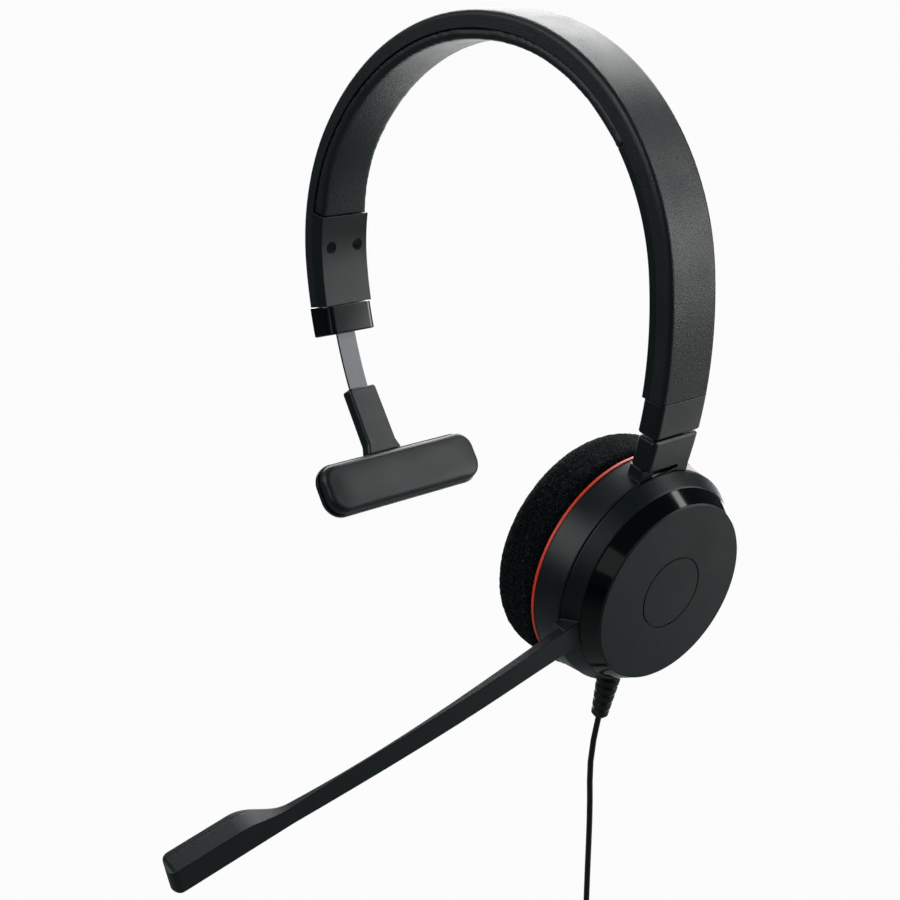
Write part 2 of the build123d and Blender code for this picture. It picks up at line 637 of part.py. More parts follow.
def cup_housing():
    """Housing: wall, floor, the hub that the boom ring turns on, and the neck's collar."""
    hub_top = -CAP_DEPTH - RING_GAP / 2
    hub_inner = HUB_RADIUS - HUB_WALL
    shell = turned([
        (0, -HOUSING_TOP), (hub_inner, -HOUSING_TOP), (hub_inner, hub_top), (HUB_RADIUS, hub_top),
        (HUB_RADIUS, -HOUSING_TOP), (RING_BACK_RADIUS - SHOULDER_EDGE, -HOUSING_TOP),
        (RING_BACK_RADIUS, -HOUSING_TOP - SHOULDER_EDGE), (HOUSING_BACK_RADIUS, -HOUSING_BACK),
        (HOUSING_BACK_RADIUS - HOUSING_WALL, -HOUSING_BACK),
        (RING_BACK_RADIUS - HOUSING_WALL, -CHAMBER_TOP), (0, -CHAMBER_TOP),
    ])
    body = TO_CUP * (shell + stop_lug()) + collar() - tongue_slot()
    body -= Pos(PIVOT) * Rot(90, 0, 0) * Cylinder(PIVOT_PIN_RADIUS + PIN_SEAT_PLAY, PIVOT_PIN_LENGTH)
    for angle in CAP_SCREW_ANGLES:
        hole = Pos(0, 0, -CHAMBER_TOP) * Cylinder(FLOOR_HOLE_RADIUS, 4 * FLOOR_THICK)
        body -= TO_CUP * (screw_spot(angle) * hole)
    lead_hole = Cylinder(LEAD_HOLE_RADIUS, 4 * FLOOR_THICK)
    body -= TO_CUP * (Pos(LEAD_HOLE_AT, -LEAD_HOLE_AT, -CHAMBER_TOP) * lead_hole)
    return body - relief_bore()


def tongue_slot():
    """Slot in the collar with room for the tongue and its eye to swing."""
    swing = PIVOT_BELOW_NECK * sin(radians(CUP_TILT_RANGE))
    half = max(TONGUE_THICK / 2 + swing, PIVOT_PIN_RADIUS + EYE_WALL) + EYE_PLAY
    return ring_sector(CUP_SIDE_CENTRE, PIVOT_NORMAL - arc_degrees(SLOT_FOOT, NECK_RADIUS), NECK_FOOT + 1,
                       NECK_RADIUS - half, NECK_RADIUS + half, TONGUE_WIDTH + 2 * TONGUE_PLAY)


def collar():
    """Collar on top of the housing and the two ears inside it that hold the pin."""
    top = NECK_FOOT - arc_degrees(COLLAR_GAP, NECK_RADIUS)
    low = PIVOT_NORMAL - arc_degrees(COLLAR_FOOT, NECK_RADIUS)
    reach = 2 * PIVOT_ABOVE_AXIS
    keep = Pos(0, PIVOT_ABOVE_AXIS, -HOUSING_TOP - reach / 2) * Box(reach, reach, reach)
    return neck_block(low, top, COLLAR_ROUND) & (TO_CUP * keep)


def screw_spot(angle):
    """Local place of a cap screw on its circle."""
    return Pos(CAP_SCREW_CIRCLE * cos(radians(angle)), CAP_SCREW_CIRCLE * sin(radians(angle)), 0)


def cup_cap():
    """Outer cap: matte face with the engraved circle, gloss wall, spigot and screw bosses."""
    foot = -CAP_DEPTH
    spigot = HUB_RADIUS - HUB_WALL - SPIGOT_PLAY
    spigot_foot = foot - SPIGOT_REACH
    shell = turned([
        (0, 0), (CAP_FACE_RADIUS - CAP_EDGE, 0), (CAP_FACE_RADIUS, -CAP_EDGE), (CAP_FOOT_RADIUS, foot),
        (CAP_FOOT_RADIUS - CAP_WALL, foot), (CAP_FACE_RADIUS - CAP_WALL, -CAP_WALL), (spigot, -CAP_WALL),
        (spigot, spigot_foot), (spigot - SPIGOT_WALL, spigot_foot), (spigot - SPIGOT_WALL, -CAP_WALL),
        (0, -CAP_WALL),
    ])
    half = BADGE_GROOVE / 2
    groove = turned([
        (BADGE_RADIUS - half, 1), (BADGE_RADIUS + half, 1),
        (BADGE_RADIUS + half, -BADGE_DEPTH), (BADGE_RADIUS - half, -BADGE_DEPTH),
    ])
    body = shell - groove
    depth = HOUSING_TOP - CAP_WALL
    for angle in CAP_SCREW_ANGLES:
        boss = Pos(0, 0, -CAP_WALL - depth / 2) * Cylinder(CAP_BOSS_RADIUS, depth)
        body += screw_spot(angle) * boss
        bore = Cylinder(CAP_SCREW_RADIUS + CAP_SCREW_PLAY, 2 * CAP_SCREW_BITE)
        body -= screw_spot(angle) * (Pos(0, 0, -HOUSING_TOP) * bore)
    return TO_CUP * body


def cap_screws():
    """Three screws that hold the cap to the housing's floor."""
    head = -CHAMBER_TOP - CAP_SCREW_HEAD_THICK
    screw = Pos(0, 0, head + CAP_SCREW_HEAD_THICK / 2) * Cylinder(CAP_SCREW_HEAD_RADIUS, CAP_SCREW_HEAD_THICK)
    shank = Cylinder(CAP_SCREW_RADIUS, CAP_SCREW_SHANK_LENGTH)
    screw += Pos(0, 0, CAP_SCREW_SHANK_LENGTH / 2 - CHAMBER_TOP) * shank
    screw -= Pos(0, 0, head) * drive_cross()
    return [TO_CUP * (screw_spot(angle) * screw) for angle in CAP_SCREW_ANGLES]


def accent_ring():
    """Coloured trim ring between the housing and the cushion."""
    hole = BAFFLE_RADIUS - CUSHION_RING_PLAY + ACCENT_PLAY
    return TO_CUP * disc(ACCENT_RADIUS, HOUSING_BACK, ACCENT_THICK, hole=hole)


def speaker_baffle():
    """Plate that carries the driver, with the sound holes towards the ear."""
    body = disc(BAFFLE_RADIUS, BAFFLE_TOP, BAFFLE_THICK)
    hole = Cylinder(SOUND_HOLE_RADIUS, 3 * BAFFLE_THICK)
    for count, circle in SOUND_RINGS:
        for k in range(count):
            body -= Rot(0, 0, 360 * k / count) * (Pos(circle, 0, -BAFFLE_TOP - BAFFLE_THICK / 2) * hole)
    return TO_CUP * body


def driver_frame():
    """Basket of the speaker driver, seated on the baffle."""
    foot, rise = -BAFFLE_TOP, -BAFFLE_TOP + DRIVER_HEIGHT + DRIVER_RISE
    inner, wall = MAGNET_RADIUS + DRIVER_SHOULDER, DRIVER_RADIUS - DRIVER_WALL
    return TO_CUP * turned([
        (wall, foot), (DRIVER_RADIUS, foot), (DRIVER_RADIUS, foot + DRIVER_HEIGHT),
        (inner, rise), (inner, rise - 1.0), (wall, foot + 1.0),
    ])


def driver_magnet():
    """Magnet pot of the driver."""
    return TO_CUP * disc(MAGNET_RADIUS, BAFFLE_TOP - MAGNET_LIFT, MAGNET_THICK, hole=MAGNET_HOLE_RADIUS)


def driver_diaphragm():
    """Domed diaphragm of the driver."""
    edge = DRIVER_RADIUS - DRIVER_WALL - FILM_THICK
    low = -BAFFLE_TOP + FILM_LIFT
    under = [(0, low + FILM_CROWN)] + [(r, low + h) for r, h in FILM_DOME] + [(edge, low)]
    return TO_CUP * turned(under + [(r, z + FILM_THICK) for r, z in reversed(under)])


def acoustic_mesh():
    """Cloth disc over the sound holes."""
    return TO_CUP * disc(CUSHION_HOLE_RADIUS - MESH_INSET, HOUSING_BACK, MESH_THICK)


def terminal_board():
    """Small circuit board behind the floor where the cord and the leads are soldered."""
    return TO_CUP * (Pos(0, -BOARD_BELOW_AXIS, -CHAMBER_TOP - BOARD_LIFT) * Box(*BOARD_SIZE))


def cushion_ring():
    """Hard ring that the foam cushion is stretched over."""
    radius = BAFFLE_RADIUS - CUSHION_RING_PLAY
    return TO_CUP * disc(radius, HOUSING_BACK, ACCENT_THICK, hole=CUSHION_HOLE_RADIUS + MESH_INSET)


def ear_cushion():
    """Foam ear cushion with a sound opening."""
    top = HOUSING_BACK + ACCENT_THICK
    far = top + CUSHION_THICK
    body = disc(CUSHION_RADIUS, top, CUSHION_THICK, hole=CUSHION_HOLE_RADIUS)
    body = fillet(rim(body, -far, CUSHION_RADIUS), CUSHION_ROUND)
    body = fillet(rim(body, -top, CUSHION_RADIUS), CUSHION_SEAT_ROUND)
    body = fillet(rim(body, -far, CUSHION_HOLE_RADIUS), CUSHION_HOLE_ROUND)
    return TO_CUP * body


# ---------------------------------------------------------------- boom
RING_FRONT = CAP_DEPTH + RING_GAP


def boom_arm():
    """Boom ring, blade and outer half of the microphone head, as one moulding."""
    bore = HUB_RADIUS + RING_PLAY
    ring = turned([
        (bore, -RING_FRONT), (RING_FRONT_RADIUS - RING_EDGE, -RING_FRONT),
        (RING_FRONT_RADIUS, -RING_FRONT - RING_EDGE), (RING_BACK_RADIUS, -RING_BACK + RING_EDGE),
        (RING_BACK_RADIUS - RING_EDGE, -RING_BACK), (bore, -RING_BACK),
    ])
    spoke = spoke_plane(BOOM_ANGLE, 0).location
    start = HUB_RADIUS + 2
    root = Pos((BOOM_ROOT + start) / 2, 0, -(RING_FRONT + RING_BACK) / 2) * Box(
        BOOM_ROOT - start, BOOM_ROOT_WIDTH, RING_BACK - RING_FRONT)
    root -= Cylinder(HUB_RADIUS + 1, 2 * BOOM_ROOT)
    outer_half = (boom_blade() & head_side(False)) - mic_pocket(MIC_PLAY)
    return TO_CUP * (ring - stop_groove()) + spoke * (root + outer_half)


def stop_sector(first, last, inner, outer, bottom, top):
    """A sector of a ring in the cup's own frame, angles from straight down to the face."""
    corners = [(inner, bottom), (outer, bottom), (outer, top), (inner, top)]
    face = make_face(Polyline(*[(r, 0, z) for r, z in corners], close=True))
    return Rot(0, 0, -90 - last) * revolve(face, Axis.Z, last - first)


def stop_groove():
    """Groove in the ring's rear face that runs over the housing's stop lug."""
    reach = STOP_WIDTH / 2 + STOP_PLAY
    return stop_sector(STOP_ANGLE - BOOM_UP - reach, STOP_ANGLE + BOOM_DOWN + reach,
                       STOP_INNER - STOP_CLEARANCE, STOP_OUTER + STOP_CLEARANCE,
                       -RING_BACK - 1, -HOUSING_TOP + STOP_HEIGHT + STOP_CLEARANCE)


def stop_lug():
    """Lug on the housing's shoulder that limits the boom's turn."""
    half = STOP_WIDTH / 2
    return stop_sector(STOP_ANGLE - half, STOP_ANGLE + half, STOP_INNER, STOP_OUTER,
                       -HOUSING_TOP - 0.2, -HOUSING_TOP + STOP_HEIGHT)


def boom_blade():
    """The whole arm outline: its side view crossed with its top view. Local Y points down."""
    start, head = HUB_RADIUS + 3.5, BOOM_TIP - BOOM_HEAD_LENGTH
    swollen = head + BOOM_HEAD_RISE
    shoulder = BOOM_ROOT + 3
    bend = shoulder + BOOM_BEND * (head - shoulder)
    blade = list(zip((start, shoulder, bend, head), BOOM_HALVES))
    upper = Spline(*[(x, -y) for x, y in blade])
    lower = Spline(*blade)
    swell = Spline(upper @ 1, (swollen, -MIC_UPPER), tangents=[upper % 1, (1, 0)])
    ends = Polyline((swollen, -MIC_UPPER), (BOOM_TIP, -MIC_UPPER), (BOOM_TIP, MIC_LOWER), lower @ 1)
    side = make_face([upper, swell, lower, *ends.edges(), Line(upper @ 0, lower @ 0)])
    side = fillet(side.vertices().sort_by(Axis.X)[-2:], BOOM_TIP_ROUND)
    side = extrude(side, amount=BOOM_ROOT, both=True)
    face = -MIC_OUTER
    back = face - MIC_THICK
    outer = Spline((start, -RING_FRONT), (BOOM_ROOT, -RING_FRONT + 0.15), (bend, -BOOM_BOW), (head, face),
                   (swollen, face), (BOOM_TIP + 0.1, face))
    inner = Spline((start, -RING_FRONT - BOOM_ROOT_DEPTH), (BOOM_ROOT, -RING_FRONT - BOOM_ROOT_DEPTH + 0.2),
                   (bend, -BOOM_BOW - BOOM_THICK), (head, face - BOOM_THICK))
    swell = Spline(inner @ 1, (swollen, back), tangents=[inner % 1, (1, 0)])
    ends = Polyline((swollen, back), (BOOM_TIP - BOOM_TIP_SLANT, back), outer @ 1)
    top = make_face([outer, inner, swell, *ends.edges(), Line(outer @ 0, inner @ 0)])
    top = fillet(top.vertices().sort_by(Axis.X)[-2:], BOOM_TIP_ROUND)
    top = extrude(Rot(90, 0, 0) * top, amount=BOOM_ROOT, both=True)
    return side & top


MIC_SEAM = MIC_OUTER + MIC_THICK - MIC_COVER_THICK
MIC_PLACE = BOOM_TIP - MIC_FROM_TIP


def head_side(cover):
    """Half space inside or outside the microphone cover's seam."""
    low, high = (MIC_SEAM, MIC_SEAM + BOOM_ROOT) if cover else (-BOOM_ROOT, MIC_SEAM)
    return Pos(BOOM_TIP / 2, 0, -(low + high) / 2) * Box(2 * BOOM_TIP, 2 * BOOM_ROOT, high - low)


def mic_cover():
    """Inner cover of the microphone head, with the sound ports towards the mouth."""
    spoke = spoke_plane(BOOM_ANGLE, 0).location
    body = boom_blade() & head_side(True)
    for k in range(MIC_PORTS):
        along = MIC_PLACE + MIC_PORT_PITCH * (k - (MIC_PORTS - 1) / 2)
        body -= Pos(along, -MIC_OFFSET, -MIC_SEAM) * Cylinder(MIC_PORT_RADIUS, 4 * MIC_COVER_THICK)
    return spoke * body


def mic_pocket(play):
    """Space of the microphone capsule inside the head."""
    at = Pos(MIC_PLACE, -MIC_OFFSET, -MIC_SEAM + MIC_CAPSULE_LENGTH / 2)
    return at * Cylinder(MIC_CAPSULE_RADIUS + play, MIC_CAPSULE_LENGTH)


def mic_capsule():
    """Microphone capsule."""
    return spoke_plane(BOOM_ANGLE, 0).location * mic_pocket(0)


def boom_washer():
    """Friction washer between the boom ring and the housing's shoulder."""
    hole = HUB_RADIUS + 2 * RING_PLAY
    thick = RING_GAP - 2 * WASHER_PLAY
    return TO_CUP * disc(hole + WASHER_WIDTH, RING_BACK + WASHER_PLAY, thick, hole=hole)


# ---------------------------------------------------------------- cord
RELIEF_PLANE = spoke_plane(RELIEF_ANGLE, RELIEF_DEPTH)


def relief_bore():
    """Hole in the housing's wall for the strain relief."""
    hole = Rot(0, 90, 0) * Cylinder(RELIEF_NECK_RADIUS + RELIEF_PLAY, 2 * RELIEF_BORE_REACH)
    return RELIEF_PLANE.location * (Pos(HOUSING_BACK_RADIUS - 3, 0, 0) * hole)


def strain_relief():
    """Tapered, grooved strain relief seated on the housing's wall, with a neck through it."""
    start = RING_BACK_RADIUS - HOUSING_WALL
    length = RELIEF_END - start
    wall = housing_radius(RELIEF_DEPTH) - start
    slope = (RELIEF_TIP_RADIUS - RELIEF_ROOT_RADIUS) / (length - wall)

    def radius(along):
        return RELIEF_ROOT_RADIUS + slope * (along - wall)

    pitch = (length - wall - 1.6) / RELIEF_GROOVES
    points = [(0, wall - RELIEF_BED), (radius(wall - RELIEF_BED), wall - RELIEF_BED)]
    for k in range(RELIEF_GROOVES):
        near = wall + 0.9 + pitch * k
        far = near + 0.45 * pitch
        points += [(radius(near), near), (radius(near) - RELIEF_GROOVE, near + 0.12),
                   (radius(far) - RELIEF_GROOVE, far - 0.12), (radius(far), far)]
    points += [(radius(length - 0.9), length - 0.9), (radius(length) - 0.8, length), (0, length)]
    place = Plane(origin=RELIEF_PLANE.origin + RELIEF_PLANE.x_dir * start, x_dir=RELIEF_PLANE.z_dir,
                  z_dir=RELIEF_PLANE.x_dir)
    inside = TO_CUP * turned([
        (0, -HOUSING_TOP), (RING_BACK_RADIUS, -HOUSING_TOP), (HOUSING_BACK_RADIUS, -HOUSING_BACK),
        (0, -HOUSING_BACK),
    ])
    neck = Pos(0, 0, wall / 2 + 0.2) * Cylinder(RELIEF_NECK_RADIUS, wall + 2.4)
    return (place.location * turned(points) - inside) + place.location * neck


EXIT = RELIEF_PLANE.origin + RELIEF_PLANE.x_dir * RELIEF_END
EXIT_WAY = RELIEF_PLANE.x_dir
COIL_MIDDLE = EXIT.Z - CORD_DROP - COIL_RADIUS - COIL_SECTION / 2
PLUMB = Vector(EXIT.X + CORD_SWAY[0], EXIT.Y + CORD_SWAY[1], EXIT.Z)


def cord_route():
    """Corners of the cord between the strain relief and the coil."""
    return [
        EXIT,
        EXIT + EXIT_WAY * 12.0,
        PLUMB + Vector(0.25, 0.05, -29.0),
        PLUMB - Vector(0, 0, 51.0),
        Vector(PLUMB.X, PLUMB.Y + 0.1, COIL_MIDDLE - 0.4),
    ]


def bend_radii(points):
    """Arc radius at each corner of a route: 0.45 of the shorter run over tan of half the turn."""
    radii = []
    for a, b, c in zip(points, points[1:], points[2:]):
        turn = radians((b - a).get_angle(c - b))
        radii.append(0.45 * min((b - a).length, (c - b).length) / tan(turn / 2))
    return radii


def tube(points, diameter):
    """A round cord along a route of straight runs and tangent arcs."""
    radii = bend_radii(points)
    path = FilletPolyline(*points, radius=radii)
    first = Plane(origin=points[0], z_dir=points[1] - points[0])
    solid = sweep(first * Circle(diameter / 2), path=path)
    section = pi * diameter ** 2 / 4
    print("cord radii", [round(r, 1) for r in radii], "length", round(path.length, 1),
          "volume over section x length", round(solid.volume / (section * path.length), 4))
    return solid


def cord():
    """Cord from the strain relief down to the coil."""
    return tube(cord_route(), CORD_DIAMETER)


COIL_OUTSIDE = COIL_RADIUS + COIL_SECTION / 2
TO_OUTER_TURN = COIL_OUTSIDE - CORD_DIAMETER / 2
TO_END_TURN = COIL_WIDTH / 2 - CORD_DIAMETER / 2
COIL_CENTRE = Vector(PLUMB.X - TO_OUTER_TURN, PLUMB.Y - TO_END_TURN, COIL_MIDDLE)


def cord_coil():
    """Outer shape of the tied coil that the spare cord is wound into."""
    body = Cylinder(COIL_OUTSIDE, COIL_WIDTH) - Cylinder(COIL_OUTSIDE - COIL_SECTION, 2 * COIL_WIDTH)
    body = fillet(round_edges(body), COIL_EDGE)
    return Pos(COIL_CENTRE) * Rot(90, 0, 0) * body


def coil_tie():
    """Hook-and-loop tie round the coil's turns."""
    at = COIL_CENTRE + Vector(-COIL_RADIUS, 0, 0)
    inside = COIL_SECTION + 2 * TIE_PLAY
    outside = Box(inside + 2 * TIE_THICK, COIL_WIDTH + 2 * TIE_THICK, TIE_WIDTH)
    outside = fillet(outside.edges().filter_by(Axis.Z), TIE_CORNER)
    hole = Box(inside, COIL_WIDTH, 2 * TIE_WIDTH)
    return Pos(at) * (outside - hole)


LEAD_START = COIL_CENTRE + Vector(TO_OUTER_TURN, -TO_END_TURN, 0)
PLUG_AT = LEAD_START + Vector(-0.2, -0.3, -PLUG_DROP)


def plug_lead():
    """Last stretch of cord, from the coil to the plug's own strain relief."""
    return tube([LEAD_START + Vector(0, 0, 0.4), LEAD_START + Vector(0, -0.2, -12.0), PLUG_AT], CORD_DIAMETER)


def plug_spot(below):
    """Place on the plug's line, that far below its cord end."""
    return Pos(PLUG_AT - Vector(0, 0, below))


PLUG_MOUTH = PLUG_RELIEF_LENGTH + PLUG_BODY_SIZE[2]


def plug_relief():
    """Short tapered relief moulded on the plug."""
    return plug_spot(PLUG_RELIEF_LENGTH / 2) * Cone(*PLUG_RELIEF_RADII, PLUG_RELIEF_LENGTH)


def plug_body():
    """Overmoulded grip of the USB plug."""
    body = Box(*PLUG_BODY_SIZE)
    body = fillet(body.edges().filter_by(Axis.Z), PLUG_BODY_CORNER)
    body = fillet(body.faces().sort_by(Axis.Z)[-1].edges(), PLUG_BODY_EDGE)
    width, height, _ = PLUG_SHELL_SIZE
    body -= Pos(0, 0, -PLUG_BODY_SIZE[2] / 2) * Box(width, height, 2 * PLUG_SHELL_BED)
    return plug_spot(PLUG_MOUTH - PLUG_BODY_SIZE[2] / 2) * body


def plug_shell():
    """Metal shell of the USB plug."""
    width, height, length = PLUG_SHELL_SIZE
    wall = 2 * PLUG_SHELL_WALL
    inside = Pos(0, 0, -PLUG_SHELL_FLOOR) * Box(width - wall, height - wall, length)
    shell = Box(width, height, length) - inside
    for x in (-PLUG_WINDOW_AT, PLUG_WINDOW_AT):
        shell -= Pos(x, 0, -PLUG_WINDOW_BELOW) * Box(PLUG_WINDOW[0], 2 * height, PLUG_WINDOW[1])
    return plug_spot(PLUG_MOUTH - PLUG_SHELL_BED + length / 2) * shell


def plug_insert():
    """Contact carrier inside the plug's shell."""
    carrier = Pos(0, PLUG_INSERT_OFFSET, 0) * Box(*PLUG_INSERT_SIZE)
    return plug_spot(PLUG_MOUTH + PLUG_INSERT_BELOW) * carrier


# ---------------------------------------------------------------- build
NODES = {
    "band_cover": band_cover,
    "band_spring": band_spring,
    "pad_carrier": pad_carrier,
    "crown_pad": crown_pad,
    "cup_trim": cup_trim,
    "bar_block": bar_block,
    "block_screws": block_screws,
    "bar_end_cap": bar_end_cap,
    "bar_strip": bar_strip,
    "bar_arm": bar_arm,
    "bar_plate": bar_plate,
    "bar_pad": bar_pad,
    "cup_end_piece": cup_end_piece,
    "neck_strip": neck_strip,
    "neck_body": neck_body,
    "pivot_pin": pivot_pin,
    "cup_housing": cup_housing,
    "cup_cap": cup_cap,
    "cap_screws": cap_screws,
    "accent_ring": accent_ring,
    "speaker_baffle": speaker_baffle,
    "driver_frame": driver_frame,
    "driver_magnet": driver_magnet,
    "driver_diaphragm": driver_diaphragm,
    "acoustic_mesh": acoustic_mesh,
    "terminal_board": terminal_board,
    "cushion_ring": cushion_ring,
    "ear_cushion": ear_cushion,
    "boom_arm": boom_arm,
    "boom_washer": boom_washer,
    "mic_cover": mic_cover,
    "mic_capsule": mic_capsule,
    "strain_relief": strain_relief,
    "cord": cord,
    "cord_coil": cord_coil,
    "coil_tie": coil_tie,
    "plug_lead": plug_lead,
    "plug_relief": plug_relief,
    "plug_body": plug_body,
    "plug_shell": plug_shell,
    "plug_insert": plug_insert,
}

for name, make in NODES.items():
    made = make()
    shape = Compound(made) if isinstance(made, list) else made
    export_step(shape, f"parts/{name}.step")
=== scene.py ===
"""Single-sided office headset: finishes, soft pieces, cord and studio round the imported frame.

Lengths are metres in the frame of the CAD part: +X towards the ear cup, -Y towards the wearer's
face, +Z up, with the origin at the middle of the crown's underside.
"""

import json
import logging
import math
from dataclasses import dataclass, field
from enum import Enum

import bpy
import numpy as np
from mathutils import Matrix, Vector
from mathutils.bvhtree import BVHTree


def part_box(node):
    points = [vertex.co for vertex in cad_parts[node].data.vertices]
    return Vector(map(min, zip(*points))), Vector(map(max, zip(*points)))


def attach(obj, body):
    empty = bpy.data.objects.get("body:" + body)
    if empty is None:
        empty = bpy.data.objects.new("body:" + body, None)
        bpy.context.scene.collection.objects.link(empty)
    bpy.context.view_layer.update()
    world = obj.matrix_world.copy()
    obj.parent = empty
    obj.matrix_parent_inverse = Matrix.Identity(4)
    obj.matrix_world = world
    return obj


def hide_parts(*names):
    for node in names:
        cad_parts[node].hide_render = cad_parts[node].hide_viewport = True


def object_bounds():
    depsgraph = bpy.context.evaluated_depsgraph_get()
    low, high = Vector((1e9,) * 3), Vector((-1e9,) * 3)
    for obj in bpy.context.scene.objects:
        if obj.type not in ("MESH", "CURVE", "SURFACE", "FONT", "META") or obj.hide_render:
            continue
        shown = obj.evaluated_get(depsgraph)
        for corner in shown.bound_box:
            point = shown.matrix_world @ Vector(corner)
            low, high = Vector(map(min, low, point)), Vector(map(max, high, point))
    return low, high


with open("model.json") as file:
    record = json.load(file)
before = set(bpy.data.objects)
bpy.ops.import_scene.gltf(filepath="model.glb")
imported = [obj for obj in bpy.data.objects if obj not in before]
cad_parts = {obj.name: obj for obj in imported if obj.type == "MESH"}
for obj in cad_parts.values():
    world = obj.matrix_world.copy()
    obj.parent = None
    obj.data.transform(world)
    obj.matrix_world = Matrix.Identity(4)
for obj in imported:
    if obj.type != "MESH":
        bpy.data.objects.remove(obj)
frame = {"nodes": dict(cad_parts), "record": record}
CAD_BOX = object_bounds()

MM = 0.001
LOG = logging.getLogger("headset")

Point = tuple[float, float, float]
Colour = tuple[float, float, float]

# Middle of the ear cup's outer face, and the way that the face looks.
CUP_CENTRE = Vector((65.1449, -0.26583, -130.13546)) * MM
CUP_AXIS = Vector((0.98643, -0.03807, -0.15971))

# Colours that more than one soft black shares, in the grain's hollows and on its tops.
SOFT_DARK = (0.0060, 0.0105, 0.0125)
SOFT_LIGHT = (0.0110, 0.0165, 0.0190)


class Body(Enum):
    """The moving bodies of the headset."""

    BAND = "band"
    T_BAR = "t_bar"
    NECK = "neck"
    CUP = "cup"
    BOOM = "boom"


# ------------------------------------------------------------------ node helpers
@dataclass
class NodeTree:
    """A node tree with a short way to add nodes and join them.

    Attributes:
        tree: The tree that nodes are added to.
    """

    tree: bpy.types.NodeTree

    def add(self, kind: str, settings: dict | None = None, **inputs: object) -> bpy.types.Node:
        """Adds a node, sets its properties, and sets or joins its inputs.

        Args:
            kind: The node's type name without the ShaderNode prefix, or its full name.
            settings: Properties of the node itself.
            **inputs: Socket names, with underscores for spaces, and their values or sources.

        Returns:
            The new node.
        """
        full = kind if kind.startswith(("NodeGroup", "Shader")) else "ShaderNode" + kind
        node = self.tree.nodes.new(full)
        for name, value in (settings or {}).items():
            setattr(node, name, value)
        for name, value in inputs.items():
            self.set(node, name.replace("_", " "), value)
        return node

    def set(self, node: bpy.types.Node, name: str | int, value: object) -> None:
        """Sets or joins one input of a node.

        Args:
            node: The node whose input it is.
            name: The socket's name or number.
            value: A constant, or an output socket to join.
        """
        socket = node.inputs[name]
        if isinstance(value, bpy.types.NodeSocket):
            self.tree.links.new(value, socket)
        else:
            socket.default_value = value

    def group(self, group: bpy.types.NodeTree, **inputs: object) -> bpy.types.Node:
        """Places a node group.

        Args:
            group: The group.
            **inputs: Its inputs.

        Returns:
            The group node.
        """
        return self.add("Group", {"node_tree": group}, **inputs)

    def maths(self, operation: str, *values: object) -> bpy.types.NodeSocket:
        """Adds a Math node.

        Args:
            operation: What it works out.
            *values: Its inputs, in order.

        Returns:
            Its result.
        """
        node = self.add("Math", {"operation": operation})
        for number, value in enumerate(values):
            self.set(node, number, value)
        return node.outputs["Value"]

    def blend(self, factor: bpy.types.NodeSocket, low: Colour, high: Colour) -> bpy.types.NodeSocket:
        """Adds a Mix node between two colours.

        Args:
            factor: The mask, 0 for the first colour and 1 for the second.
            low: The first colour.
            high: The second colour.

        Returns:
            The mixed colour.
        """
        # The colour form of the node keeps its own sockets at these numbers.
        first, second, result = 6, 7, 2
        node = self.add("Mix", {"data_type": "RGBA"}, Factor=factor)
        self.set(node, first, (*low, 1.0))
        self.set(node, second, (*high, 1.0))
        return node.outputs[result]

    def spread(self, value: bpy.types.NodeSocket, source: tuple[float, float],
               target: tuple[float, float] = (0.0, 1.0)) -> bpy.types.NodeSocket:
        """Adds a Map Range node.

        Args:
            value: The value to map.
            source: The range it comes from.
            target: The range it goes to.

        Returns:
            The mapped value.
        """
        node = self.add("MapRange", Value=value, From_Min=source[0], From_Max=source[1],
                        To_Min=target[0], To_Max=target[1])
        return node.outputs["Result"]

    def relief(self, height: bpy.types.NodeSocket, depth: float, strength: float = 1.0,
               **inputs: object) -> bpy.types.NodeSocket:
        """Adds a Bump node.

        Args:
            height: The height, from 0 to 1.
            depth: The relief's depth in metres.
            strength: How strongly it shows.
            **inputs: Other inputs of the node.

        Returns:
            The bumped normal.
        """
        bump = self.add("Bump", Height=height, Strength=strength, Distance=depth, **inputs)
        return bump.outputs["Normal"]


@dataclass
class EffectGroup:
    """A shader node group with named float inputs and outputs.

    Attributes:
        name: The group's name.
        inputs: Input names and their defaults.
        outputs: Output names.
    """

    name: str
    inputs: dict[str, float]
    outputs: tuple[str, ...]

    def start(self) -> tuple[NodeTree, bpy.types.Node, bpy.types.Node, bpy.types.NodeSocket]:
        """Makes the empty group.

        Returns:
            The tree, its input node, its output node and the Object coordinates.
        """
        group = bpy.data.node_groups.new(self.name, "ShaderNodeTree")
        for name, value in self.inputs.items():
            socket = group.interface.new_socket(name, in_out="INPUT", socket_type="NodeSocketFloat")
            socket.default_value = value
        for name in self.outputs:
            group.interface.new_socket(name, in_out="OUTPUT", socket_type="NodeSocketFloat")
        tree = NodeTree(group)
        entry, leave = tree.add("NodeGroupInput"), tree.add("NodeGroupOutput")
        where = tree.add("TexCoord").outputs["Object"]
        return tree, entry, leave, where


def build_grain() -> bpy.types.NodeTree:
    """Moulded grain: fine cells with softer noise over them.

    Returns:
        The node group, with Height and Mask outputs.
    """
    tree, entry, leave, where = EffectGroup(
        "moulded_grain", {"Scale": 2500.0, "Softness": 0.5}, ("Height", "Mask")).start()
    patches_per_metre = 90.0
    scale = entry.outputs["Scale"]
    cells = tree.add("TexVoronoi", {"feature": "SMOOTH_F1"}, Vector=where, Scale=scale, Smoothness=0.7)
    noise = tree.add("TexNoise", Vector=where, Scale=scale, Detail=2.0, Roughness=0.6)
    both = tree.add("Mix", {"data_type": "FLOAT"}, Factor=entry.outputs["Softness"],
                    A=cells.outputs["Distance"], B=noise.outputs["Fac"])
    wide = tree.add("TexNoise", Vector=where, Scale=patches_per_metre, Detail=3.0, Roughness=0.55)
    tree.set(leave, "Height", both.outputs["Result"])
    tree.set(leave, "Mask", wide.outputs["Fac"])
    return tree.tree


